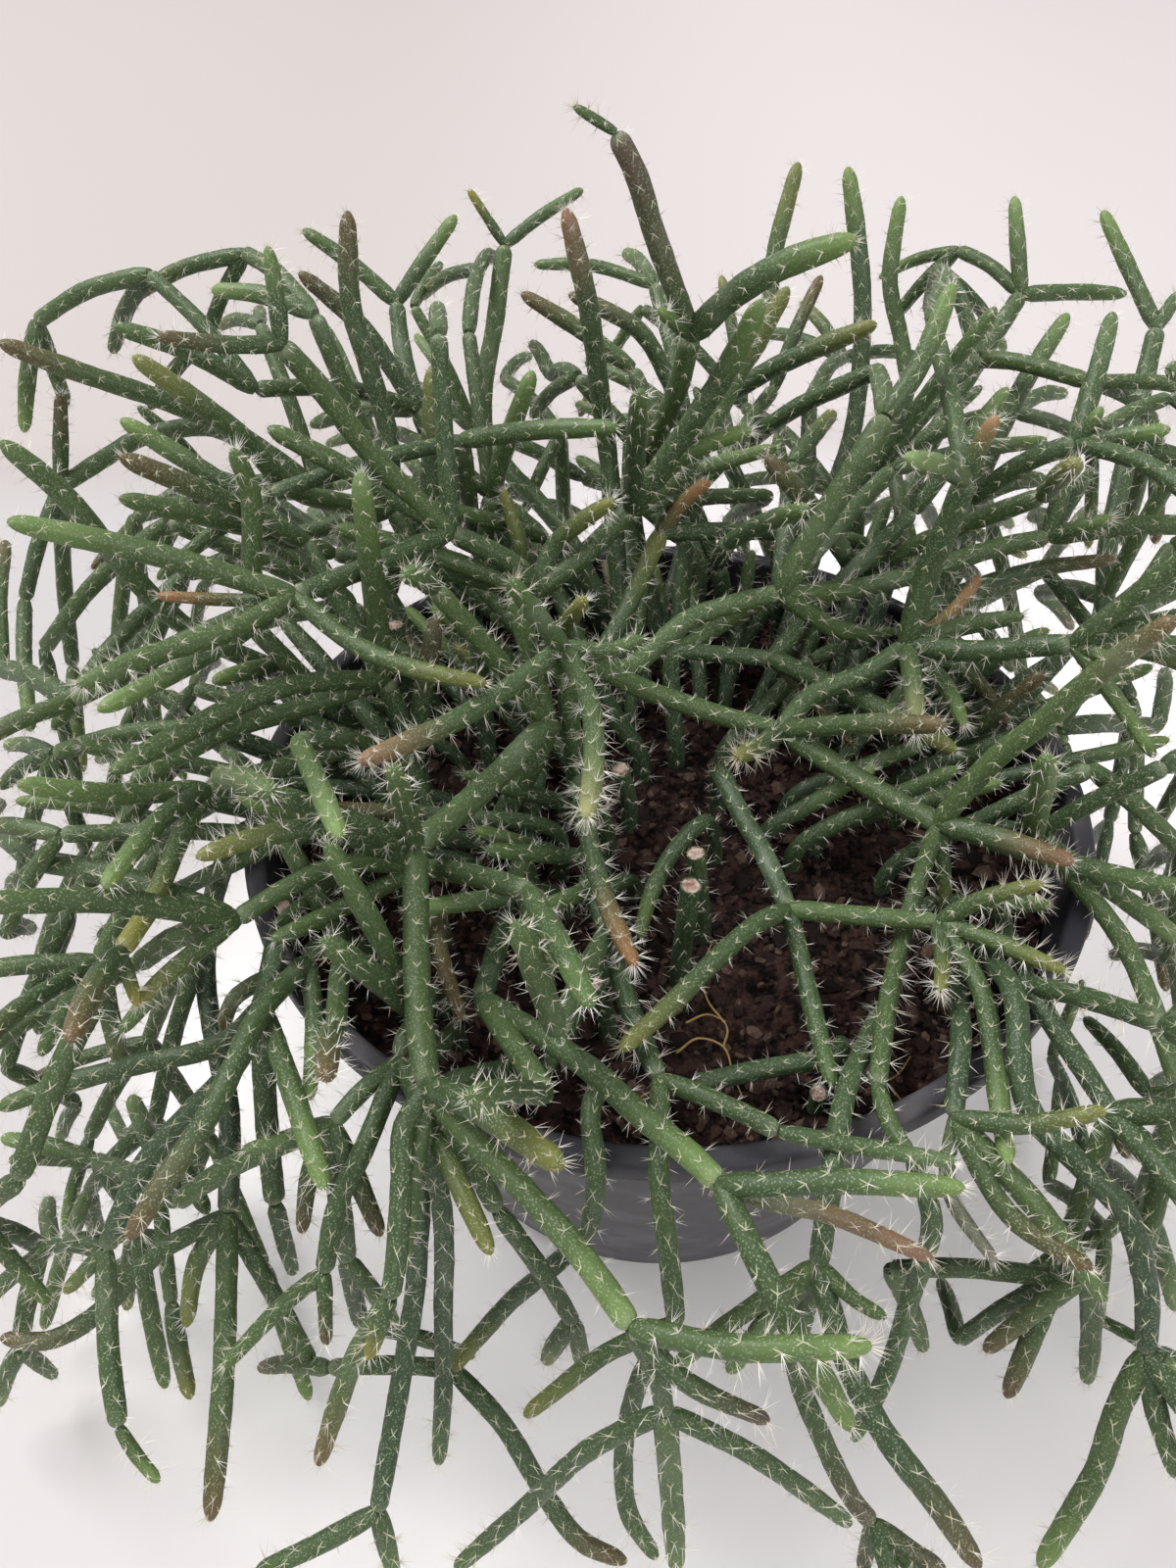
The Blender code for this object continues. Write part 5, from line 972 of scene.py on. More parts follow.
def crowded_pairs(places, start, end, stem_of, stems):
    """Pairs of links within reach of each other that belong to stems which have to keep apart."""
    middle = (places[start] + places[end]) / 2
    half = np.sqrt(((places[start] - places[end]) ** 2).sum(axis=1)) / 2
    sweep = np.argsort(middle[:, 0], kind="stable")
    along_x = middle[sweep, 0]
    first = []
    second = []
    for position, link in enumerate(sweep):
        last = np.searchsorted(along_x, along_x[position] + NEIGHBOUR_REACH + LONGEST_LINK)
        others = sweep[position + 1:last]
        apart = np.sqrt(((middle[others] - middle[link]) ** 2).sum(axis=1)) - half[others] - half[link]
        for other in others[apart < NEIGHBOUR_REACH]:
            one = stems[stem_of[link]]
            two = stems[stem_of[other]]
            kin = (
                one is two
                or one["parent"] == stem_of[other]
                or two["parent"] == stem_of[link]
                or (one["parent"] is not None and one["parent"] == two["parent"])
            )
            if not kin:
                first.append(link)
                second.append(other)
    return np.array(first), np.array(second)


def way_out(places, radius):
    """The move that brings each place clear of the rim, the wall, the soil and the table."""
    move = np.zeros_like(places)
    out = np.hypot(places[:, 0], places[:, 1])
    high = places[:, 2]
    outward = places[:, :2] / np.maximum(out, 1e-9)[:, None]
    clear = radius + BODY_GAP
    beside_lip = high > POT_HEIGHT - LIP_HEIGHT - RIM_CROSSING
    outer = np.where(beside_lip, RIM_RADIUS, wall_radius(high)) + clear
    inner = wall_radius(high) - WALL - clear
    over = POT_HEIGHT + clear
    hit = (high < over) & (out > inner) & (out < outer)
    up = over - high
    away = outer - out
    back = np.where(high < SOIL_TOP, 1.0, out - inner)
    least = np.argmin(np.stack((up, away, back)), axis=0)
    move[:, 2] += np.where(hit & (least == 0), up, 0)
    move[:, :2] += outward * np.where(hit & (least == 1), away, 0)[:, None]
    move[:, :2] -= outward * np.where(hit & (least == 2), back, 0)[:, None]
    sunk = (out < inner) & (high < SOIL_TOP + clear) & ~hit
    move[:, 2] += np.where(sunk, SOIL_TOP + clear - high, 0)
    move[:, 2] += np.where(high < clear, clear - high, 0)
    return move


def ease_apart(plant):
    """Bend the stems clear of each other, keeping their lengths and, as far as they can, their curves."""
    places = np.array(plant.points)
    give = np.array(plant.give)
    start = []
    end = []
    stem_of = []
    corners = []
    for number, stem in enumerate(plant.stems):
        chain = stem["chain"]
        start += chain[:-1]
        end += chain[1:]
        stem_of += [number] * (len(chain) - 1)
        corners += list(zip(chain, chain[1:], chain[2:]))
    start = np.array(start)
    end = np.array(end)
    stem_of = np.array(stem_of)
    radius = np.array([plant.stems[number]["radius"] for number in stem_of])
    before, corner, after = np.array(corners).T
    rest = np.sqrt(((places[start] - places[end]) ** 2).sum(axis=1))
    bend = places[corner] - (places[before] + places[after]) / 2
    loose = give[start] + give[end]
    moves_start = (give[start] > 0)[:, None]
    moves_end = (give[end] > 0)[:, None]

    for turn in range(EASING_TURNS):
        if turn % 10 == 0:
            one, two = crowded_pairs(places, start, end, stem_of, plant.stems)
        share_1, share_2 = nearest_on_links(
            places[start[one]], places[end[one]], places[start[two]], places[end[two]])
        near_1 = places[start[one]] + (places[end[one]] - places[start[one]]) * share_1[:, None]
        near_2 = places[start[two]] + (places[end[two]] - places[start[two]]) * share_2[:, None]
        between = near_2 - near_1
        apart = np.sqrt((between ** 2).sum(axis=1))
        lack = radius[one] + radius[two] + STEM_GAP - apart
        tight = lack > 0
        a = one[tight]
        b = two[tight]
        normal = between[tight] / np.maximum(apart[tight], 1e-7)[:, None]
        share_1 = share_1[tight]
        share_2 = share_2[tight]
        weights = (
            (1 - share_1) * give[start[a]], share_1 * give[end[a]],
            (1 - share_2) * give[start[b]], share_2 * give[end[b]],
        )
        total = (
            (1 - share_1) * weights[0] + share_1 * weights[1]
            + (1 - share_2) * weights[2] + share_2 * weights[3]
        )
        push = np.where(total > 1e-6, lack[tight] / np.maximum(total, 1e-6), 0)
        push = np.minimum(push, LONGEST_PUSH / np.maximum(np.max(weights, axis=0), 1e-6))
        move = np.zeros_like(places)
        pushes = np.zeros(len(places))
        sides = ((start[a], -1), (end[a], -1), (start[b], 1), (end[b], 1))
        for (index, sign), weight in zip(sides, weights):
            np.add.at(move, index, sign * normal * (weight * push)[:, None])
            np.add.at(pushes, index, 1)
        places += move / np.maximum(np.sqrt(pushes), 1)[:, None]

        for _ in range(2):
            run = places[end] - places[start]
            long = np.sqrt((run ** 2).sum(axis=1))
            mend = (long - rest) / np.maximum(long, 1e-9) / np.maximum(loose, 1e-6) * 0.5
            np.add.at(places, start, run * (mend * give[start])[:, None])
            np.add.at(places, end, -run * (mend * give[end])[:, None])

        pull = (bend - places[corner] + (places[before] + places[after]) / 2) * BEND_MEMORY
        np.add.at(places, corner, pull * give[corner][:, None])
        np.add.at(places, before, -pull * 0.5 * give[before][:, None])
        np.add.at(places, after, -pull * 0.5 * give[after][:, None])

        for share in (0.0, 0.25, 0.5, 0.75, 1.0):
            clear = way_out(places[start] * (1 - share) + places[end] * share, radius) * 0.5
            np.add.at(places, start, clear * min(1.0, 2 - 2 * share) * moves_start)
            np.add.at(places, end, clear * min(1.0, 2 * share) * moves_end)
    plant.points = list(np.round(places, 5))


plant = Plant()
add_traced_stems(plant)
grow_hidden_stems(plant)
ease_apart(plant)

# Small stems, 3.1 to 3.9 mm thick, fill the gaps that are left between the solids' stems. They grow from
# the soil and from branching ends by a like rule, keep clear of most other stems, lie behind those that
# the picture shows, leave a smaller window onto the soil, and hang a little lower in front.
OPEN_TABLE = 1430
SOIL_WINDOW = (
    (700, 860), (850, 860), (890, 960), (890, 1100),
    (730, 1165), (600, 1145), (650, 1040), (700, 960),
)
rule_grown = ("grown", "hidden", "small")
small_seed = 41
small_thicknesses = (3.1, 3.9)
box_margin = 0.004
behind_by = 0.003

# Those that grow from the soil: how many tries, how far from the axis, how steep, how far they may turn
# aside, and their lengths
small_root_tries = 1600
small_root_turns = (0.0, 360.0)
small_root_reach = (0.020, 0.074)
small_root_rise = (0.4, 1.3)
small_root_sway = (-0.5, 0.5)
small_root_lengths = (0.026, 0.052)

# Those that grow from other stems: how many small stems in all, how many tries, their lengths, how many
# stems the parent may carry already, the shares of its heading and of the way outward, the least they go
# forward, and the least of a gap that most of them fill
small_stems = 260
small_turns = 6000
small_tries = 14
small_lengths = (0.020, 0.040)
carried_already = 5
small_ahead = 0.5
small_outward = 0.2
small_forward = 0.1
least_gap = 0.30
seen_share = 0.92


def inside_box(route):
    """True where a route keeps inside the box of the solids."""
    low, high = (np.array(corner) for corner in cad_box)
    places = np.array(route)
    return bool(((places > low + box_margin) & (places < high - box_margin)).all())


def behind(route, shown):
    """True where a route lies no nearer to the eye than the shown stems beside it in the picture."""
    shown_x, shown_y, shown_distance = shown
    for x, y, far in zip(*picture_of(np.array(route[1:]))):
        nearest = np.hypot(shown_x - x, shown_y - y).argmin()
        if far < shown_distance[nearest] + behind_by:
            return False
    return True


def add_small_stems(plant):
    """Grow small stems from the soil and from branching ends, most into a gap in the picture."""
    draw = random.Random(small_seed)
    crowd = np.array([place for stem in plant.stems for place in along(plant.route(stem))])
    shown = []
    for stem in plant.stems:
        if not stem["name"].startswith(rule_grown) and stem["parent"] is not None:
            shown += along(plant.route(stem))
    shown = picture_of(np.array(shown))
    feet = np.array([plant.points[stem["chain"][1]] for stem in plant.stems if stem["parent"] is None])
    carried = carried_by(plant.stems)
    added = 0
    for _ in range(small_root_tries):
        turn = math.radians(draw.uniform(*small_root_turns))
        far = draw.uniform(*small_root_reach)
        collar = np.array((far * math.cos(turn), far * math.sin(turn), SOIL_TOP + COLLAR))
        direction = np.array((math.cos(turn), math.sin(turn), draw.uniform(*small_root_rise)))
        direction[:2] += (draw.uniform(*small_root_sway), draw.uniform(*small_root_sway))
        route = drooping(collar, direction, draw.uniform(*small_root_lengths), SLIGHT_DROOP)
        crowded = apart(crowd, collar).min() < LEAST_ROOM
        if crowded or not behind(route, shown) or room_around(route, crowd, shown) == 0:
            continue
        plant.add_stem("small_%d" % added, None, 0, draw.uniform(*small_thicknesses), route, 1.0)
        plant.stems[-1]["cutting"] = int(apart(feet, collar).argmin())
        crowd = np.vstack((crowd, along([collar] + route)))
        added += 1
    plant.cuttings = len(feet)
    for _ in range(small_turns):
        number = draw.randrange(len(plant.stems))
        stem = plant.stems[number]
        branching = stem["name"].startswith(rule_grown) or number in carried
        if added >= small_stems or stem["name"] in FULL_ENDS or not branching:
            continue
        if carried.get(number, 0) > carried_already:
            continue
        start, before = (plant.points[index] for index in stem["chain"][:-3:-1])
        heading = (start - before) / length_of(start - before)
        out, outward = outward_at(start)
        seen = draw.random() < seen_share
        best = None
        most = 0.0
        for _ in range(small_tries):
            direction = heading * small_ahead + random_way(draw) + outward * small_outward
            if direction @ heading < small_forward * length_of(direction):
                continue
            droop = SLIGHT_DROOP if out < RIM_RADIUS else DROOP
            route = drooping(start, direction, draw.uniform(*small_lengths), droop)
            if not inside_box(route) or not behind(route, shown):
                continue
            room = room_around(route, crowd, shown)
            filled = gap_filled(route, crowd) if room > 0 else 0.0
            if room > 0 and filled > most and (filled > least_gap or not seen):
                best = route
                most = filled
        if best is None:
            continue
        plant.add_stem("small_%d" % added, number, -1, draw.uniform(*small_thicknesses), best, 1.0)
        crowd = np.vstack((crowd, along(best)))
        carried[number] = carried.get(number, 0) + 1
        added += 1


add_small_stems(plant)


class Shape:
    """Points and faces of one mesh, gathered in parts, with point colours and corner UVs."""

    def __init__(self):
        self.points = []
        self.faces = []
        self.colours = []
        self.corners = []
        self.kinds = []
        self.count = 0

    def add(self, points, faces, kind=0, colours=None, corners=None):
        points = np.asarray(points, float)
        faces = np.asarray(faces)
        self.points.append(points)
        self.faces.append(faces + self.count)
        self.colours.append(np.ones((len(points), 3)) if colours is None else colours)
        self.corners.append(np.zeros((faces.size, 2)) if corners is None else corners)
        self.kinds.append(np.full(len(faces), kind))
        self.count += len(points)

    def piece(self, name, materials, smooth=True):
        """The gathered mesh as an object, with a point colour called skin and a UV map called around."""
        mesh = bpy.data.meshes.new(name)
        faces = [face for part in self.faces for face in part.tolist()]
        mesh.from_pydata(np.vstack(self.points).tolist(), [], faces)
        skin = mesh.color_attributes.new("skin", "FLOAT_COLOR", "POINT")
        colours = np.hstack((np.vstack(self.colours), np.ones((self.count, 1))))
        skin.data.foreach_set("color", colours.astype(np.float32).ravel())
        around = mesh.uv_layers.new(name="around")
        around.data.foreach_set("uv", np.vstack(self.corners).astype(np.float32).ravel())
        mesh.polygons.foreach_set("material_index", np.concatenate(self.kinds).astype(np.int32))
        mesh.polygons.foreach_set("use_smooth", np.full(len(mesh.polygons), smooth))
        for material in materials:
            mesh.materials.append(material)
        return new_piece(name, mesh)


def unit(vectors):
    """Each of the vectors, one metre long."""
    return vectors / np.sqrt((vectors ** 2).sum(axis=1))[:, None]


def across_each(directions):
    """Two directions across each of the given ones."""
    helper = np.where(np.abs(directions[:, 2:]) < 0.9, (0.0, 0.0, 1.0), (1.0, 0.0, 0.0))
    side = unit(np.cross(directions, helper))
    return side, np.cross(directions, side)


def rows_at(at, far, rows):
    """The rows of a table of X, Y and Z, given at the distances far, read at other distances."""
    return np.stack([np.interp(at, far, rows[:, axis]) for axis in range(3)], 1)


def lengths_along(route):
    """How far each point of a route lies from its start, along it."""
    return np.concatenate(([0.0], np.cumsum(np.sqrt((np.diff(route, axis=0) ** 2).sum(axis=1)))))


def frames_along(route):
    """For each point of a route, its direction and two directions across it that don't twist."""
    ahead = unit(np.gradient(route, axis=0))
    side = np.cross(ahead[0], (0.31, 0.87, 0.38))
    sides = []
    for direction in ahead:
        side = side - direction * (side @ direction)
        side = side / length_of(side)
        sides.append(side)
    sides = np.array(sides)
    return ahead, sides, np.cross(ahead, sides)


def tube(route, radii, sides):
    """Points, quads and corner UVs of an open tube along a route. V runs in metres."""
    _, across, over = frames_along(route)
    angle = np.arange(sides) / sides * 2 * math.pi
    ring = across[:, None] * np.cos(angle)[None, :, None] + over[:, None] * np.sin(angle)[None, :, None]
    points = route[:, None] + ring * radii[:, None, None]
    rings = len(route)
    row = np.arange(rings - 1)[:, None] * sides
    here = np.arange(sides)[None]
    onward = (np.arange(sides) + 1)[None] % sides
    quads = np.stack((row + here, row + onward, row + sides + onward, row + sides + here), -1)
    far = lengths_along(route)
    u0 = np.broadcast_to(np.arange(sides) / sides, (rings - 1, sides))
    v0 = np.broadcast_to(far[:-1, None], u0.shape)
    v1 = np.broadcast_to(far[1:, None], u0.shape)
    u1 = u0 + 1 / sides
    corners = np.stack((u0, v0, u1, v0, u1, v1, u0, v1), -1)
    return points.reshape(-1, 3), quads.reshape(-1, 4), corners.reshape(-1, 2)


def end_fan(sides, at_start):
    """Triangles that close the end of a tube, from its last ring to the one point after it."""
    fan = [(k, (k + 1) % sides, sides) for k in range(sides)]
    return [(b, a, c) for a, b, c in fan] if at_start else fan


# The stems. Each is a fleshy round tube, most of them 3 to 4.6 mm thick, waisted where it leaves its
# parent and tapered to a dome at its tip. Small cream areoles stand on it in eight rows, about one for
# each millimetre of stem and closer near the tip. Fine white bristles stand on the areoles.
stem_sides = 14
plain_sides = 10
line_step = 0.002
ring_step = 0.0018
ribs = 8
rib_shift = 3 / 8
areole_pitch = 0.0082
tip_pitch = 0.0042
tip_zone = 0.014
cell_samples = 80
soil_clear = 0.006
fork_clear = 0.0015
tip_taper = 0.74
fork_taper = 0.92
taper_length = 0.012
tip_dome = 1.7
waist = 0.66
waist_length = 0.0032

# Where the rings of the waist lie, in metres, and those of a dome and of a cut end, as shares of the
# dome's height or the stem's radius, back from the end
waist_rings = [0.0, 0.0008, 0.0018, waist_length]
dome_rings = (1.0, 0.72, 0.46, 0.24, 0.09, 0.015)
cut_rings = (0.12, 0.04, 0.0)
cut_edge = 0.90

# A cut end's edge is drawn in or out by these shares, and back by up to 3.5 ring steps.
cut_edge_in = (0.86, 1.04)
cut_edge_back = (0.0, 3.5)

# How far the looks of a tip, of a node and of young areoles reach back along a stem, a whole stem's as
# a share of its length, and the height below which a rooted stem is darkened by painted shade toward the
# soil and how fast that fades
whole_reach = 1.2
tip_reach = 0.020
node_reach = 0.0022
young_reach = 0.022
painted_shade_height = 0.09
painted_shade_fade = 0.05

# How lively the freshest stem is, how old all look and how much painted shade darkens them by the soil, how
# strongly a plain tip, another tip and a node take their colours, and how far stems differ in brightness
lively_share = 0.6
old_share = 0.25
painted_shade_by_soil = 0.5
plain_strength = 0.75
look_strength = 0.9
look_curve = 1.3
node_strength = 0.45
tone_spread = (0.88, 1.12)
stem_colours = {
    "old": srgb(40, 58, 45),
    "green": srgb(56, 76, 42),
    "lively": srgb(86, 106, 52),
    "node": srgb(152, 160, 132),
    "cut": srgb(196, 170, 158),
}
tip_colours = {
    "plain": srgb(82, 106, 56),
    "light": srgb(112, 138, 74),
    "olive": srgb(118, 118, 54),
    "yellow": srgb(146, 136, 48),
    "pale": srgb(146, 146, 98),
    "reddish": srgb(146, 104, 84),
    "orange": srgb(156, 104, 64),
    "brown": srgb(98, 72, 48),
    "purple": srgb(84, 62, 58),
    "grey": srgb(132, 126, 118),
}
free_looks = ("plain", "plain", "plain", "plain", "light", "light", "olive", "brown")

# How the shown tips look, by the names of the routes above, which of those stems have that look all
# along, and which are hairy
tip_looks = {
    "reddish": "hub_left top_f near_yellow rim_right",
    "pale": "hub_front fan_down",
    "olive": """back_olive orange_stem left_olive yellow_up yellow_down olive_right back_olive_top
        left_return right_c_olive top_a_olive east_tip arch_left hang_mid""",
    "light": """back_long_top tall_right_top fan_right_tip light_hang near_right near_down near_arch
        near_low top_g_right left_d_bright left_e_tip top_k_bright top_k_light low_right flat_right_tip
        fan_down_right""",
    "yellow": "left_b_tip left_b_low left_drop_tip top_e_yellow",
    "orange": "orange_tip under_front fan_up_tip fan_orange left_orange",
    "brown": """fan_brown fan_brown_right left_d_brown left_f_brown left_i_brown top_left_brown
        top_a_high top_b_brown right_c_brown brown_left left_d_front dry_tip""",
    "purple": "top_g_brown low_brown purple_hang purple_end purple_end_low",
    "grey": "right_c_grey",
}
look_of = {name: look for look, names in tip_looks.items() for name in names.split()}
whole_stems = """orange_tip near_yellow fan_orange top_g_brown purple_end purple_end_low right_c_grey
    dry_tip brown_left""".split()
hairy_stems = """hub_left hub_front back_olive back_hairy orange_stem fan_right fan_right_back fan_down
    fan_down_right flat_right_tip left_olive left_far_hairy left_upright low_right top_f yellow_up
    yellow_down olive_right east_tip under_front""".split()
hairy_share = 0.10

# The bristles of an areole on each kind of stem: how many there may be, how many more when it is young,
# their length in metres and how much longer young ones are
bristle_kinds = {
    "hairy": ((4, 5, 6), 3.0, 0.0034, 0.0),
    "grown": ((0, 1, 1, 2, 2, 3), 1.6, 0.0019, 0.0008),
    "traced": ((1, 2, 2, 3, 3, 4), 2.2, 0.0021, 0.0013),
}
bristle_width = 0.000058
bristle_swing = (-1.1, 1.1)
bristle_lean = (-0.25, 0.9)
bristle_spread = (0.55, 1.25)

# The tufts at a hairy tip, at another tip and at a fork: how many bristles and how long, and the ranges
# of their random draws
hairy_tuft = (30, 0.0032)
plain_tuft = (14, 0.0022)
fork_tuft = (9, 0.0019)
tip_splay = (0.2, 0.95)
tip_spread = (0.5, 1.15)
fork_lean = (-0.6, 0.8)
fork_spread = (0.5, 1.2)

# The radius of an areole, and how much larger a young one and one on an older stem are
areole_size = 0.00019
young_swell = 0.00012
older_swell = 0.00005

chance = random.Random(5)
carries = {stem["parent"] for stem in plant.stems}


def near_end(far, length, reach):
    """A rise from 0 to 1 over the last reach of a stem's length."""
    return np.clip((far - length + reach) / reach, 0, 1)


def blended(colours, other, share):
    """Each ring's colour, blended with another by its share."""
    return colours * (1 - share[:, None]) + np.array(other) * share[:, None]


def stem_rings(length, radius, rooted, tipped, cut, draw):
    """Where the rings of a stem lie along it, and the radius of each."""
    start = [0.0] if rooted else waist_rings
    dome = radius * (tip_dome if tipped else 1.0)
    if cut:
        end = [length - radius * share for share in cut_rings]
    else:
        end = [length - dome * share for share in dome_rings]
    run = end[0] - start[-1]
    count = max(2, int(round(run / ring_step)))
    middle = [start[-1] + run * k / count for k in range(1, count)]
    far = np.array(start + middle + end)
    size = np.full(len(far), radius)
    if not rooted:
        size *= waist + (1 - waist) * np.clip(far / waist_length, 0, 1) ** 0.6
    if cut:
        size[-1] *= cut_edge
    else:
        taper = tip_taper if tipped else fork_taper
        size *= 1 - (1 - taper) * near_end(far, length, taper_length) ** 1.4
        left = np.clip((length - far) / dome, 0, 1)
        size *= np.sqrt(1 - (1 - left) ** 2)
    phase = draw.uniform(0, 6.28)
    size *= 1 + 0.022 * np.sin(far * 520 + phase) + 0.018 * np.sin(far * 1330 + 2 * phase)
    return far, size


def cells_along(far, length, dense_tip):
    """How many areole pitches lie between a stem's start and each distance along it."""
    fine = np.linspace(0, length, cell_samples)
    near_tip = near_end(fine, length, tip_zone) if dense_tip else np.zeros(cell_samples)
    pitch = areole_pitch + (tip_pitch - areole_pitch) * near_tip
    count = np.concatenate(([0.0], np.cumsum((fine[1:] - fine[:-1]) / pitch[1:])))
    return np.interp(far, fine, count), fine, count


def ring_colours(stem, look, fresh, heights, far, length, tipped):
    """The colour of each ring of a stem: livelier on a fresh one, darkened by painted shade near the soil,
    and its tip's look.
    """
    name = stem["name"]
    rooted = stem["parent"] is None
    # Painted shade: rooted stems are blended further toward the old colour near the soil.
    soil_painted_shade = 1 - np.clip((heights - painted_shade_height) / painted_shade_fade, 0, 1) if rooted else np.zeros(len(far))
    green, lively = (np.array(stem_colours[key]) for key in ("green", "lively"))
    base = green * (1 - fresh * lively_share) + lively * fresh * lively_share
    colour = blended(base, stem_colours["old"], np.clip(old_share + painted_shade_by_soil * soil_painted_shade, 0, 1))
    if look is not None:
        reach = length * whole_reach if name in whole_stems else min(0.65 * length, tip_reach)
        strength = plain_strength if look == "plain" else look_strength
        toward = near_end(far, length, reach) ** look_curve * strength
        colour = blended(colour, tip_colours[look], toward)
    if not tipped and not name.startswith("cut"):
        toward = near_end(far, length, node_reach) * node_strength
        colour = blended(colour, stem_colours["node"], toward)
    return colour


def spikes(roots, directions, lengths):
    """Thin three-sided spikes, closed at the root: points and faces."""
    directions = unit(directions)
    side, over = across_each(directions)
    points = []
    for angle in (0.0, 2.0944, 4.1888):
        points.append(roots + (side * math.cos(angle) + over * math.sin(angle)) * bristle_width)
    points.append(roots + directions * lengths[:, None])
    points = np.stack(points, 1).reshape(-1, 3)
    first = np.arange(len(roots))[:, None, None] * 4
    faces = first + np.array(((0, 1, 3), (1, 2, 3), (2, 0, 3), (0, 2, 1)))
    return points, faces.reshape(-1, 3)


def cushions(places, normals, size):
    """Small four-sided domes: points and faces."""
    side, over = across_each(normals)
    points = []
    for number in range(4):
        angle = 2 * math.pi * number / 4
        ring = side * math.cos(angle) + over * math.sin(angle)
        points.append(places + ring * size[:, None] - normals * size[:, None] * 0.4)
    points.append(places + normals * size[:, None] * 0.55)
    points.append(places - normals * size[:, None] * 0.5)
    points = np.stack(points, 1).reshape(-1, 3)
    sides = [(k, (k + 1) % 4, 4) for k in range(4)] + [((k + 1) % 4, k, 5) for k in range(4)]
    faces = np.arange(len(places))[:, None, None] * 6 + np.array(sides)
    return points, faces.reshape(-1, 3)


def areole_places(length, radius, rooted, fine, count):
    """How far along a stem each of its areoles stands, and its angle around the stem."""
    where = []
    rows = []
    for row in range(ribs):
        shift = (row * rib_shift) % 1.0
        for cell in np.arange(0.5 - shift, count[-1], 1.0):
            if 0.25 < cell < count[-1] - 0.05:
                where.append(cell)
                rows.append(row)
    at = np.interp(where, count, fine)
    keep = (at > (soil_clear if rooted else fork_clear)) & (at < length - 0.4 * radius)
    return at[keep], (np.array(rows)[keep] + 0.5) / ribs * 2 * math.pi


def tuft(tipped, hairy, radius, end, ahead, across, over, draw):
    """Bristles round a tip or a fork, as their roots, directions and lengths."""
    tufted = []
    many, long = (hairy_tuft if hairy else plain_tuft) if tipped else fork_tuft
    for _ in range(many):
        turn = draw.uniform(0, 2 * math.pi)
        out = draw.uniform(*tip_splay) if tipped else 0.0
        sideways = across * math.cos(turn) + over * math.sin(turn)
        if tipped:
            root = end + sideways * radius * 0.5 * out - ahead * radius * 0.35 * out
            direction = ahead + sideways * out * 1.3
            length = long * draw.uniform(*tip_spread)
        else:
            root = end + sideways * radius * 0.75 - ahead * radius * 0.3
            direction = sideways + ahead * draw.uniform(*fork_lean)
            length = long * draw.uniform(*fork_spread)
        tufted.append((root, direction, length))
    return tufted


def dress_stem(number, skin, hair, draw):
    """Add one stem's skin, areoles and bristles to its cutting's two meshes."""
    stem = plant.stems[number]
    name = stem["name"]
    radius = stem["radius"]
    rooted = stem["parent"] is None
    cut = name.startswith("cut")
    grown = name.startswith(rule_grown)
    tipped = number not in carries and not cut
    line = np.array(smooth_route(plant.route(stem), line_step))
    far_line = lengths_along(line)
    length = far_line[-1]
    far, size = stem_rings(length, radius, rooted, tipped, cut, draw)
    route = rows_at(far, far_line, line)
    around = plain_sides if grown else stem_sides
    points, quads, corners = tube(route, size, around)
    cells, fine, count = cells_along(far, length, tipped)
    corners[:, 1] = np.interp(corners[:, 1], lengths_along(route), cells)

    look = look_of.get(name)
    if look is None and tipped:
        look = draw.choice(free_looks)
    hairy = name in hairy_stems or (look is None and draw.random() < hairy_share)
    fresh = draw.uniform(0, 1)
    colour = ring_colours(stem, look, fresh, route[:, 2], far, length, tipped)
    colour = colour * draw.uniform(*tone_spread)
    if cut:
        rough = np.array([[draw.uniform(*cut_edge_in)] for _ in range(around)])
        points[-around:] = route[-1] + (points[-around:] - route[-1]) * rough
        for k in range(around):
            points[-around + k] -= (route[-1] - route[-2]) * draw.uniform(*cut_edge_back)
    skin.add(points, quads, 0, np.repeat(colour, around, axis=0), corners)

    rings = len(route)
    ahead, across, over = frames_along(route)
    for ring, way in ((0, -1), (rings - 1, 1)):
        open_cut = cut and way > 0
        centre = route[ring] + ahead[ring] * way * size[ring] * (0.02 if cut else 0.25)
        rim = points.reshape(rings, around, 3)[ring]
        end_colour = np.array(stem_colours["cut"]) if open_cut else colour[ring]
        skin.add(np.vstack((rim, centre)), end_fan(around, way < 0), 2 if open_cut else 0,
                 np.tile(end_colour, (around + 1, 1)), np.tile((0.0, cells[ring]), (around * 3, 1)))

    at, angle = areole_places(length, radius, rooted, fine, count)
    if not len(at):
        return
    onward = rows_at(at, far, ahead)
    normal = unit(rows_at(at, far, across) * np.cos(angle)[:, None]
                  + rows_at(at, far, over) * np.sin(angle)[:, None])
    place = rows_at(at, far, route) + normal * np.interp(at, far, size)[:, None]
    young = near_end(at, length, young_reach) if tipped else np.zeros(len(at))
    swollen = areole_size + young_swell * young + older_swell * (fresh < 0.5)
    domes, dome_faces = cushions(place, normal, swollen)
    skin.add(domes, dome_faces, 1)

    kind = "hairy" if hairy else "grown" if grown else "traced"
    counts, more, long, longer = bristle_kinds[kind]
    beside = np.cross(onward, normal)
    hairs = []
    for k in range(len(at)):
        many = draw.choice(counts)
        many += int((0.0 if hairy else draw.random()) + more * young[k])
        for _ in range(many):
            swing = draw.uniform(*bristle_swing)
            direction = normal[k] + onward[k] * draw.uniform(*bristle_lean) + beside[k] * swing
            reach = (long + longer * young[k]) * draw.uniform(*bristle_spread)
            hairs.append((place[k], direction, reach))
    if not cut:
        hairs += tuft(tipped, hairy, radius, route[-1], ahead[-1], across[-1], over[-1], draw)
    if hairs:
        roots, directions, lengths = (np.array(values) for values in zip(*hairs))
        hair.add(*spikes(roots, directions, lengths))


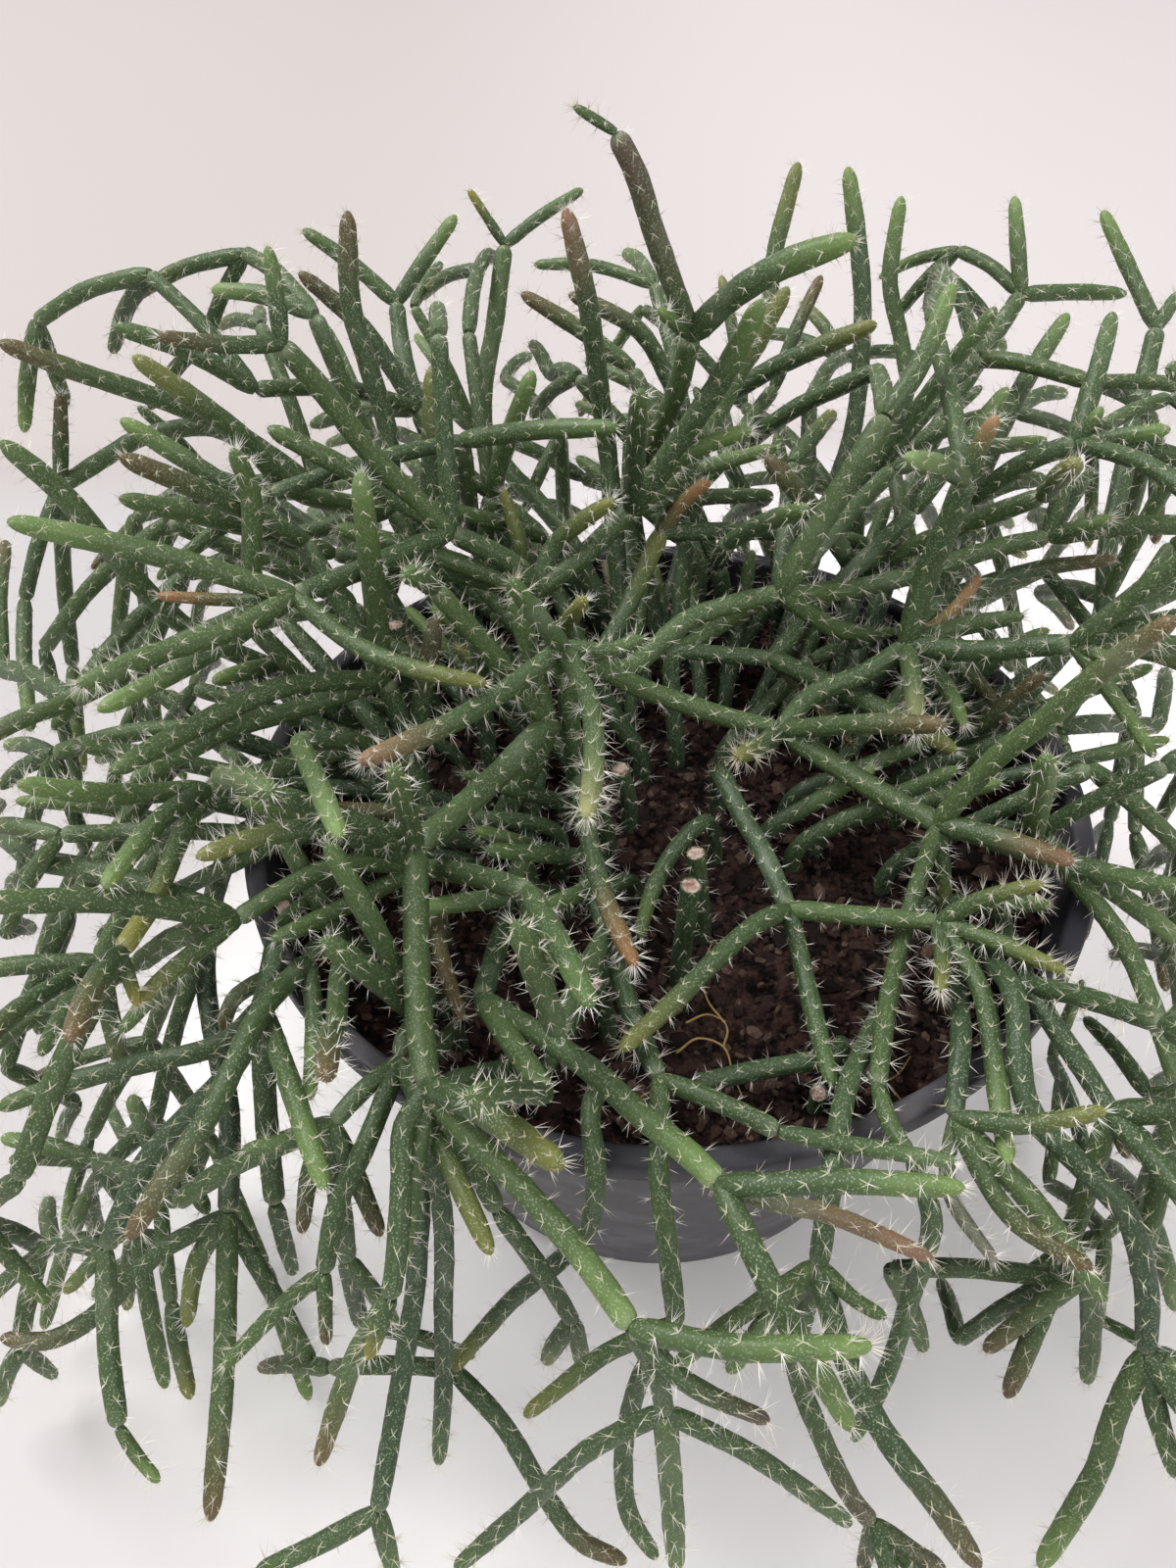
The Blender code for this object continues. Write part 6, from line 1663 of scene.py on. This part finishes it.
def stem_skin():
    """Green skin with pale specks, faint ribs, a fine edge at each scale and a thin bloom."""
    material, nodes, shader, place = new_material("stem_skin", 0.52, 0.38)
    colour = nodes.add("Attribute", attribute_name="skin").outputs["Color"]
    split = nodes.add("SeparateXYZ", {"Vector": nodes.add("UVMap", uv_map="around").outputs["UV"]})
    rows = nodes.maths("MULTIPLY", split.outputs["X"], float(ribs))
    beside = nodes.maths("ABSOLUTE", nodes.maths("SUBTRACT", nodes.maths("FRACT", rows), 0.5))
    shift = nodes.maths("MULTIPLY", nodes.maths("FLOOR", rows), rib_shift)
    shifted = nodes.maths("FRACT", nodes.maths("ADD", split.outputs["Y"], shift))
    onward = nodes.maths("SUBTRACT", shifted, 0.5)
    arm = nodes.maths("ADD", onward, nodes.maths("MULTIPLY", beside, 0.30))
    line = nodes.between(nodes.maths("ABSOLUTE", arm), 0.034, 0.010)
    line = nodes.maths("MULTIPLY", line, nodes.between(beside, 0.48, 0.30))
    rib = nodes.between(beside, 0.5, 0.0)
    fine = use_group(nodes, grain, Place=place, Specks_per_metre=2300.0, Mottles_per_metre=150.0)
    speckled = nodes.mix(nodes.maths("MULTIPLY", fine["Specks"], 0.62), colour, srgb(164, 176, 146))
    mottle = nodes.between(fine["Mottle"], 0.42, 0.74, 0.0, 0.32)
    mottled = nodes.mix(mottle, speckled, srgb(34, 56, 34))
    ridged = nodes.mix(nodes.maths("MULTIPLY", rib, 0.05), mottled, srgb(120, 146, 96))
    bloom = nodes.between(nodes.noise(place, 48.0, 5.0), 0.56, 0.78, 0.0, 0.30)
    bloomed = nodes.mix(bloom, ridged, srgb(140, 152, 132))
    edged = nodes.mix(nodes.maths("MULTIPLY", line, 0.68), bloomed, srgb(202, 206, 172))
    nodes.put(edged, shader.inputs["Base Color"])
    relief = nodes.maths("ADD", nodes.maths("MULTIPLY", rib, 0.18), nodes.maths("MULTIPLY", line, 0.26))
    relief = nodes.maths("ADD", relief, nodes.maths("MULTIPLY", fine["Height"], 0.16))
    nodes.put(nodes.bump(relief, 0.00022, 0.9), shader.inputs["Normal"])
    nodes.put(nodes.between(fine["Mottle"], 0.3, 0.7, 0.46, 0.62), shader.inputs["Roughness"])
    return material


def two_tone(name, roughness, specular, blotches, window, tones, relief=None):
    """A material of two tones that blend by noise, with another noise for relief.

    Blotches are the noise's scale and detail, and the window is where it turns from one tone to the other.
    Relief is a noise's scale and detail and the depth of the bump.
    """
    material, nodes, shader, place = new_material(name, roughness, specular)
    share = nodes.between(nodes.noise(place, *blotches), *window)
    nodes.put(nodes.mix(share, *tones), shader.inputs["Base Color"])
    if relief:
        nodes.put(nodes.bump(nodes.noise(place, *relief[:2]), relief[2]), shader.inputs["Normal"])
    return material


# The skin, the cream felt of the areoles, dried cut flesh with brown patches, and white bristles that
# are straw in places
skin_materials = (
    stem_skin(),
    two_tone("areole_felt", 0.9, 0.2, (300.0, 3.0), (0.4, 0.7),
             (srgb(214, 206, 176), srgb(168, 146, 108)), (6000.0, 3.0, 0.0001)),
    two_tone("cut_flesh", 0.85, 0.25, (900.0, 6.0), (0.36, 0.66),
             (srgb(216, 194, 182), srgb(142, 104, 92)), (1500.0, 6.0, 0.0012)),
)
bristles = two_tone("bristle_white", 0.45, 0.5, (90.0, 3.0), (0.35, 0.7),
                    (srgb(238, 236, 230), srgb(206, 198, 178)))
for cutting in range(plant.cuttings):
    members = [number for number, stem in enumerate(plant.stems) if stem["cutting"] == cutting]
    first = plant.stems[members[0]]["name"]
    kind = "stub_" if first.startswith("cut") else "cutting_"
    node_name = kind + first.removeprefix("cut_")
    skin = Shape()
    hair = Shape()
    for number in members:
        dress_stem(number, skin, hair, chance)
    piece = skin.piece("skin_" + node_name, skin_materials)
    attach(piece, "root")
    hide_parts(node_name)
    if hair.count:
        piece = hair.piece("bristles_" + node_name, (bristles,), smooth=False)
        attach(piece, "root")

# The pot: charcoal nursery plastic, 170 mm across its rim and 108 mm high, with a rounded lip 5 mm high,
# a thin tapered wall, a foot that steps in and six drain slots. Its wall has a fine moulded grain, a
# little pale dust below the rim and faint scuffs.
pot_sides = 144
lip_round = 0.0012
lip_edge = 0.0004
sharp_from = 38
lip_under = POT_HEIGHT - LIP_HEIGHT
wall_top = RIM_RADIUS - LIP
inner_top = wall_top - WALL
step = float(wall_radius(FOOT_STEP_HEIGHT))
foot = FOOT_RADIUS - FOOT_STEP
corner = float(wall_radius(BASE_THICKNESS)) - WALL - FOOT_STEP
pot_profile = [(inner_top, lip_under)]
lip_turns = [math.radians(90 * number / 5) for number in range(6)]
for turn in lip_turns:
    inward = lip_round * (1 - math.cos(turn))
    pot_profile.append((inner_top + inward, POT_HEIGHT - lip_round * (1 - math.sin(turn))))
for turn in lip_turns:
    inward = lip_round * (1 - math.sin(turn))
    pot_profile.append((RIM_RADIUS - inward, POT_HEIGHT - lip_round * (1 - math.cos(turn))))
pot_profile += [
    (RIM_RADIUS, lip_under + 0.0006),
    (RIM_RADIUS - lip_edge, lip_under),
    (wall_top + lip_edge, lip_under),
    (wall_top, lip_under - 0.0005),
    (step, FOOT_STEP_HEIGHT),
    (step - 0.0004, FOOT_STEP_HEIGHT - 0.0006),
    (step - FOOT_STEP, FOOT_STEP_HEIGHT - EDGE),
    (foot, EDGE),
    (foot - EDGE, 0.0),
    (0.0, 0.0),
    (0.0, BASE_THICKNESS),
    (corner - BEVEL, BASE_THICKNESS),
    (corner, BASE_THICKNESS + BEVEL),
]

# The closed profile is turned once round the pot's axis, and the slots are then cut out.
shape = bmesh.new()
ring = [shape.verts.new((radius, 0.0, height)) for radius, height in pot_profile]
for start, end in zip(ring, ring[1:] + ring[:1]):
    if start.co.x > 0 or end.co.x > 0:
        shape.edges.new((start, end))
bmesh.ops.spin(
    shape, geom=shape.verts[:] + shape.edges[:], cent=(0, 0, 0), axis=(0, 0, 1),
    angle=2 * math.pi, steps=pot_sides, use_merge=True)
bmesh.ops.remove_doubles(shape, verts=shape.verts, dist=0.00002)
bmesh.ops.recalc_face_normals(shape, faces=shape.faces)
mesh = bpy.data.meshes.new("pot_shell")
shape.to_mesh(mesh)
shape.free()
pot = new_piece("pot_shell", mesh)
for number in range(SLOTS):
    angle = 2 * math.pi * (number + 0.5) / SLOTS
    bpy.ops.mesh.primitive_cube_add(size=1.0)
    slot = bpy.context.object
    slot.scale = (SLOT_LENGTH, SLOT_WIDTH, 3 * BASE_THICKNESS)
    slot.location = (SLOT_RADIUS * math.cos(angle), SLOT_RADIUS * math.sin(angle), BASE_THICKNESS / 2)
    slot.rotation_euler = (0.0, 0.0, angle)
    cut = pot.modifiers.new("slot", "BOOLEAN")
    cut.operation = "DIFFERENCE"
    cut.object = slot
    bpy.context.view_layer.update()
    graph = bpy.context.evaluated_depsgraph_get()
    mesh = bpy.data.meshes.new_from_object(pot.evaluated_get(graph), depsgraph=graph)
    pot.modifiers.clear()
    pot.data = mesh
    bpy.data.objects.remove(slot, do_unlink=True)
pot.data.polygons.foreach_set("use_smooth", [True] * len(pot.data.polygons))
pot.data.set_sharp_from_angle(angle=math.radians(sharp_from))

plastic, nodes, shader, place = new_material("charcoal_plastic", 0.5, 0.4)
height = nodes.add("SeparateXYZ", {"Vector": place}).outputs["Z"]
wear = nodes.noise(place, 70.0, 6.0)
dust = nodes.between(wear, 0.45, 0.72)
dust = nodes.maths("MULTIPLY", dust, nodes.between(height, 0.0, 0.10, 0.10, 0.34))
scuff_place = nodes.add("Mapping", {"Vector": place, "Scale": (1.0, 1.0, 9.0), "Rotation": (0.2, 0.1, 0.0)})
scuff = nodes.noise(scuff_place.outputs["Vector"], 60.0, 8.0, 0.7)
scuff = nodes.between(scuff, 0.66, 0.74, 0.0, 0.30)
tone = nodes.mix(dust, srgb(50, 49, 56), srgb(112, 107, 106))
nodes.put(nodes.mix(scuff, tone, srgb(94, 92, 100)), shader.inputs["Base Color"])
grain_of_plastic = use_group(nodes, grain, Place=place, Specks_per_metre=2600.0, Mottles_per_metre=90.0)
relief = nodes.maths("ADD", grain_of_plastic["Height"], nodes.maths("MULTIPLY", scuff, 0.5))
nodes.put(nodes.bump(relief, 0.00006, 0.6), shader.inputs["Normal"])
nodes.put(nodes.between(wear, 0.3, 0.75, 0.42, 0.62), shader.inputs["Roughness"])
pot.data.materials.clear()
pot.data.materials.append(plastic)
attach(pot, "root")
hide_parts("pot")

# The soil fills the pot to 13 mm below the rim: dark reddish brown crumbled bark and peat. Its top is
# uneven and rises a little at the wall. Below, it ends at the bevel of the pot's base.
soil_radius = (
    corner + (inner_top - corner) * (SOIL_TOP - BASE_THICKNESS) / (lip_under - BASE_THICKNESS) - FIT
)
soil_rings = 64
soil_sectors = 180
soil_sink = 0.0006
swell_height = 0.0018
lump_height = 0.0014
wall_share = 0.86
wall_rise = 0.006


def soil_height(x, y):
    """Height of the soil's uneven top."""
    place = Vector((x, y, 0.0))
    swell = noise.fractal(place * 38, 1.0, 2.0, 3) * swell_height
    lumps = noise.fractal(place * 190 + Vector((3.1, 7.7, 0.0)), 0.8, 2.1, 4) * lump_height
    edge = max(0.0, math.hypot(x, y) / soil_radius - wall_share) * wall_rise
    return SOIL_TOP - soil_sink + swell + lumps + edge


spokes = [2 * math.pi * sector / soil_sectors for sector in range(soil_sectors)]
points = [(0.0, 0.0, soil_height(0.0, 0.0))]
for ring in range(1, soil_rings + 1):
    radius = soil_radius * ring / soil_rings
    for angle in spokes:
        x = radius * math.cos(angle)
        y = radius * math.sin(angle)
        points.append((x, y, soil_height(x, y)))
radius = corner - FIT
bottom = len(points)
points += [(radius * math.cos(angle), radius * math.sin(angle), BASE_THICKNESS + BEVEL) for angle in spokes]
pairs = [(k, (k + 1) % soil_sectors) for k in range(soil_sectors)]
faces = [(0, 1 + k, 1 + onward) for k, onward in pairs]
for ring in range(soil_rings - 1):
    inner = 1 + ring * soil_sectors
    outer = inner + soil_sectors
    faces += [(inner + k, outer + k, outer + onward, inner + onward) for k, onward in pairs]
last = bottom - soil_sectors
faces += [(last + k, bottom + k, bottom + onward, last + onward) for k, onward in pairs]
faces.append(tuple(bottom + k for k in reversed(range(soil_sectors))))
mesh = bpy.data.meshes.new("soil_bed")
mesh.from_pydata(points, [], faces)
mesh.polygons.foreach_set("use_smooth", [True] * len(mesh.polygons))
bed = new_piece("soil_bed", mesh)

earth, nodes, shader, place = new_material("crumbled_soil", 0.95, 0.12)
lump = nodes.noise(place, 260.0, 8.0, 0.7)
crumb = nodes.cells(place, 620.0)
tone = nodes.mix(nodes.between(lump, 0.40, 0.62), srgb(20, 15, 15), srgb(84, 62, 56))
fleck = nodes.between(nodes.noise(place, 1100.0, 3.0), 0.62, 0.74, 0.0, 0.6)
nodes.put(nodes.mix(fleck, tone, srgb(112, 84, 66)), shader.inputs["Base Color"])
relief = nodes.maths("SUBTRACT", nodes.maths("MULTIPLY", lump, 2.0), crumb)
nodes.put(nodes.bump(relief, 0.0018), shader.inputs["Normal"])
mesh.materials.append(earth)
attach(bed, "root")
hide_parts("soil")

# Crumbs of bark, about 1 to 2.4 mm across, lie loose on the soil, and every fifth is a flatter chip up to
# 5.6 mm. Each is a ball of 20 faces, squashed, roughened, turned and partly sunk.
crumb_count = 4200
crumb_spread = 0.985
chip_every = 5
chip_sizes = (0.0012, 0.0028)
crumb_sizes = (0.0004, 0.0012)
chip_flatness = (0.25, 0.5)
crumb_flatness = (0.5, 0.9)
crumb_widths = (0.5, 0.9)
crumb_roughness = 0.30
crumb_tilt = 0.5
crumb_rise = 0.4
crumb_tones = (0.8, 1.2)
crumb_colours = (srgb(48, 37, 35), srgb(64, 48, 44), srgb(40, 31, 30), srgb(80, 61, 55), srgb(106, 85, 75))
crumbs = Shape()
dice = random.Random(23)
shape = bmesh.new()
bmesh.ops.create_icosphere(shape, subdivisions=1, radius=1.0)
ball = np.array([vert.co[:] for vert in shape.verts])
ball_faces = np.array([[vert.index for vert in face.verts] for face in shape.faces])
shape.free()
for number in range(crumb_count):
    far = soil_radius * math.sqrt(dice.random()) * crumb_spread
    angle = dice.uniform(0, 2 * math.pi)
    x = far * math.cos(angle)
    y = far * math.sin(angle)
    chip = number % chip_every == 0
    size = dice.uniform(*(chip_sizes if chip else crumb_sizes))
    flat = dice.uniform(*(chip_flatness if chip else crumb_flatness))
    body = ball * (1.0, dice.uniform(*crumb_widths), flat)
    rough = [[dice.uniform(-crumb_roughness, crumb_roughness)] for _ in range(len(ball))]
    body = body * (1 + np.array(rough))
    turn = Matrix.Rotation(dice.uniform(0, 6.28), 3, "Z")
    turn = turn @ Matrix.Rotation(dice.gauss(0, crumb_tilt), 3, "X")
    body = body @ np.array(turn).T * size
    if math.hypot(x, y) + size > soil_radius:
        continue
    base = np.array(dice.choice(crumb_colours)) * dice.uniform(*crumb_tones)
    lifted = body + (x, y, soil_height(x, y) + size * flat * crumb_rise)
    crumbs.add(lifted, ball_faces, 0, np.tile(base, (len(ball), 1)))
bark, nodes, shader, place = new_material("bark_crumbs", 0.92, 0.15)
colour = nodes.add("Attribute", attribute_name="skin").outputs["Color"]
grit = nodes.noise(place, 1500.0, 5.0, 0.7)
tone = nodes.mix(nodes.between(grit, 0.36, 0.66, 0.55, 0.0), colour, srgb(26, 20, 19))
nodes.put(tone, shader.inputs["Base Color"])
nodes.put(nodes.bump(grit, 0.0005), shader.inputs["Normal"])
piece = crumbs.piece("bark_crumbs", (bark,), smooth=False)
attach(piece, "root")

# Dried rootlets, half a millimetre thick and straw yellow, lie loose on the soil in the gap between the
# stems. Each follows places given in the photo, dropped onto the soil.
rootlet_routes = (
    ((690, 1078), (712, 1062), (738, 1070), (748, 1096), (757, 1122)),
    ((738, 1070), (742, 1046), (722, 1020), (716, 988), (726, 966)),
    ((700, 1046), (722, 1034), (742, 1040)),
    ((890, 1112), (912, 1104), (928, 1082)),
    ((905, 1112), (915, 1124), (925, 1140)),
    ((345, 1200), (362, 1188), (378, 1194)),
    ((648, 1128), (668, 1116), (684, 1122)),
)
rootlet_sides = 6
rootlet_radius = 0.00024
rootlet_step = 0.0009
rootlet_lift = (0.0010, 0.0022)
rootlets = Shape()
for picked in rootlet_routes:
    laid = []
    for pixel_x, pixel_y in picked:
        ray = seen_place(pixel_x, pixel_y, 1.0) - EYE
        spot = EYE + ray * ((SOIL_TOP - EYE[2]) / ray[2])
        lift = dice.uniform(*rootlet_lift)
        laid.append((spot[0], spot[1], soil_height(spot[0], spot[1]) + lift))
    line = np.array(smooth_route(laid, rootlet_step))
    thick = rootlet_radius * (1 - 0.5 * np.linspace(0, 1, len(line)) ** 2)
    points, quads, corners = tube(line, thick, rootlet_sides)
    rootlets.add(points, quads)
    rings = points.reshape(len(line), rootlet_sides, 3)
    for ring in (0, len(line) - 1):
        rootlets.add(np.vstack((rings[ring], line[ring])), end_fan(rootlet_sides, ring == 0))
straw, nodes, shader, place = new_material("dried_rootlet", 0.7, 0.3)
tone = nodes.mix(nodes.noise(place, 500.0), srgb(178, 152, 96), srgb(120, 92, 58))
nodes.put(tone, shader.inputs["Base Color"])
piece = rootlets.piece("rootlets", (straw,))
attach(piece, "root")
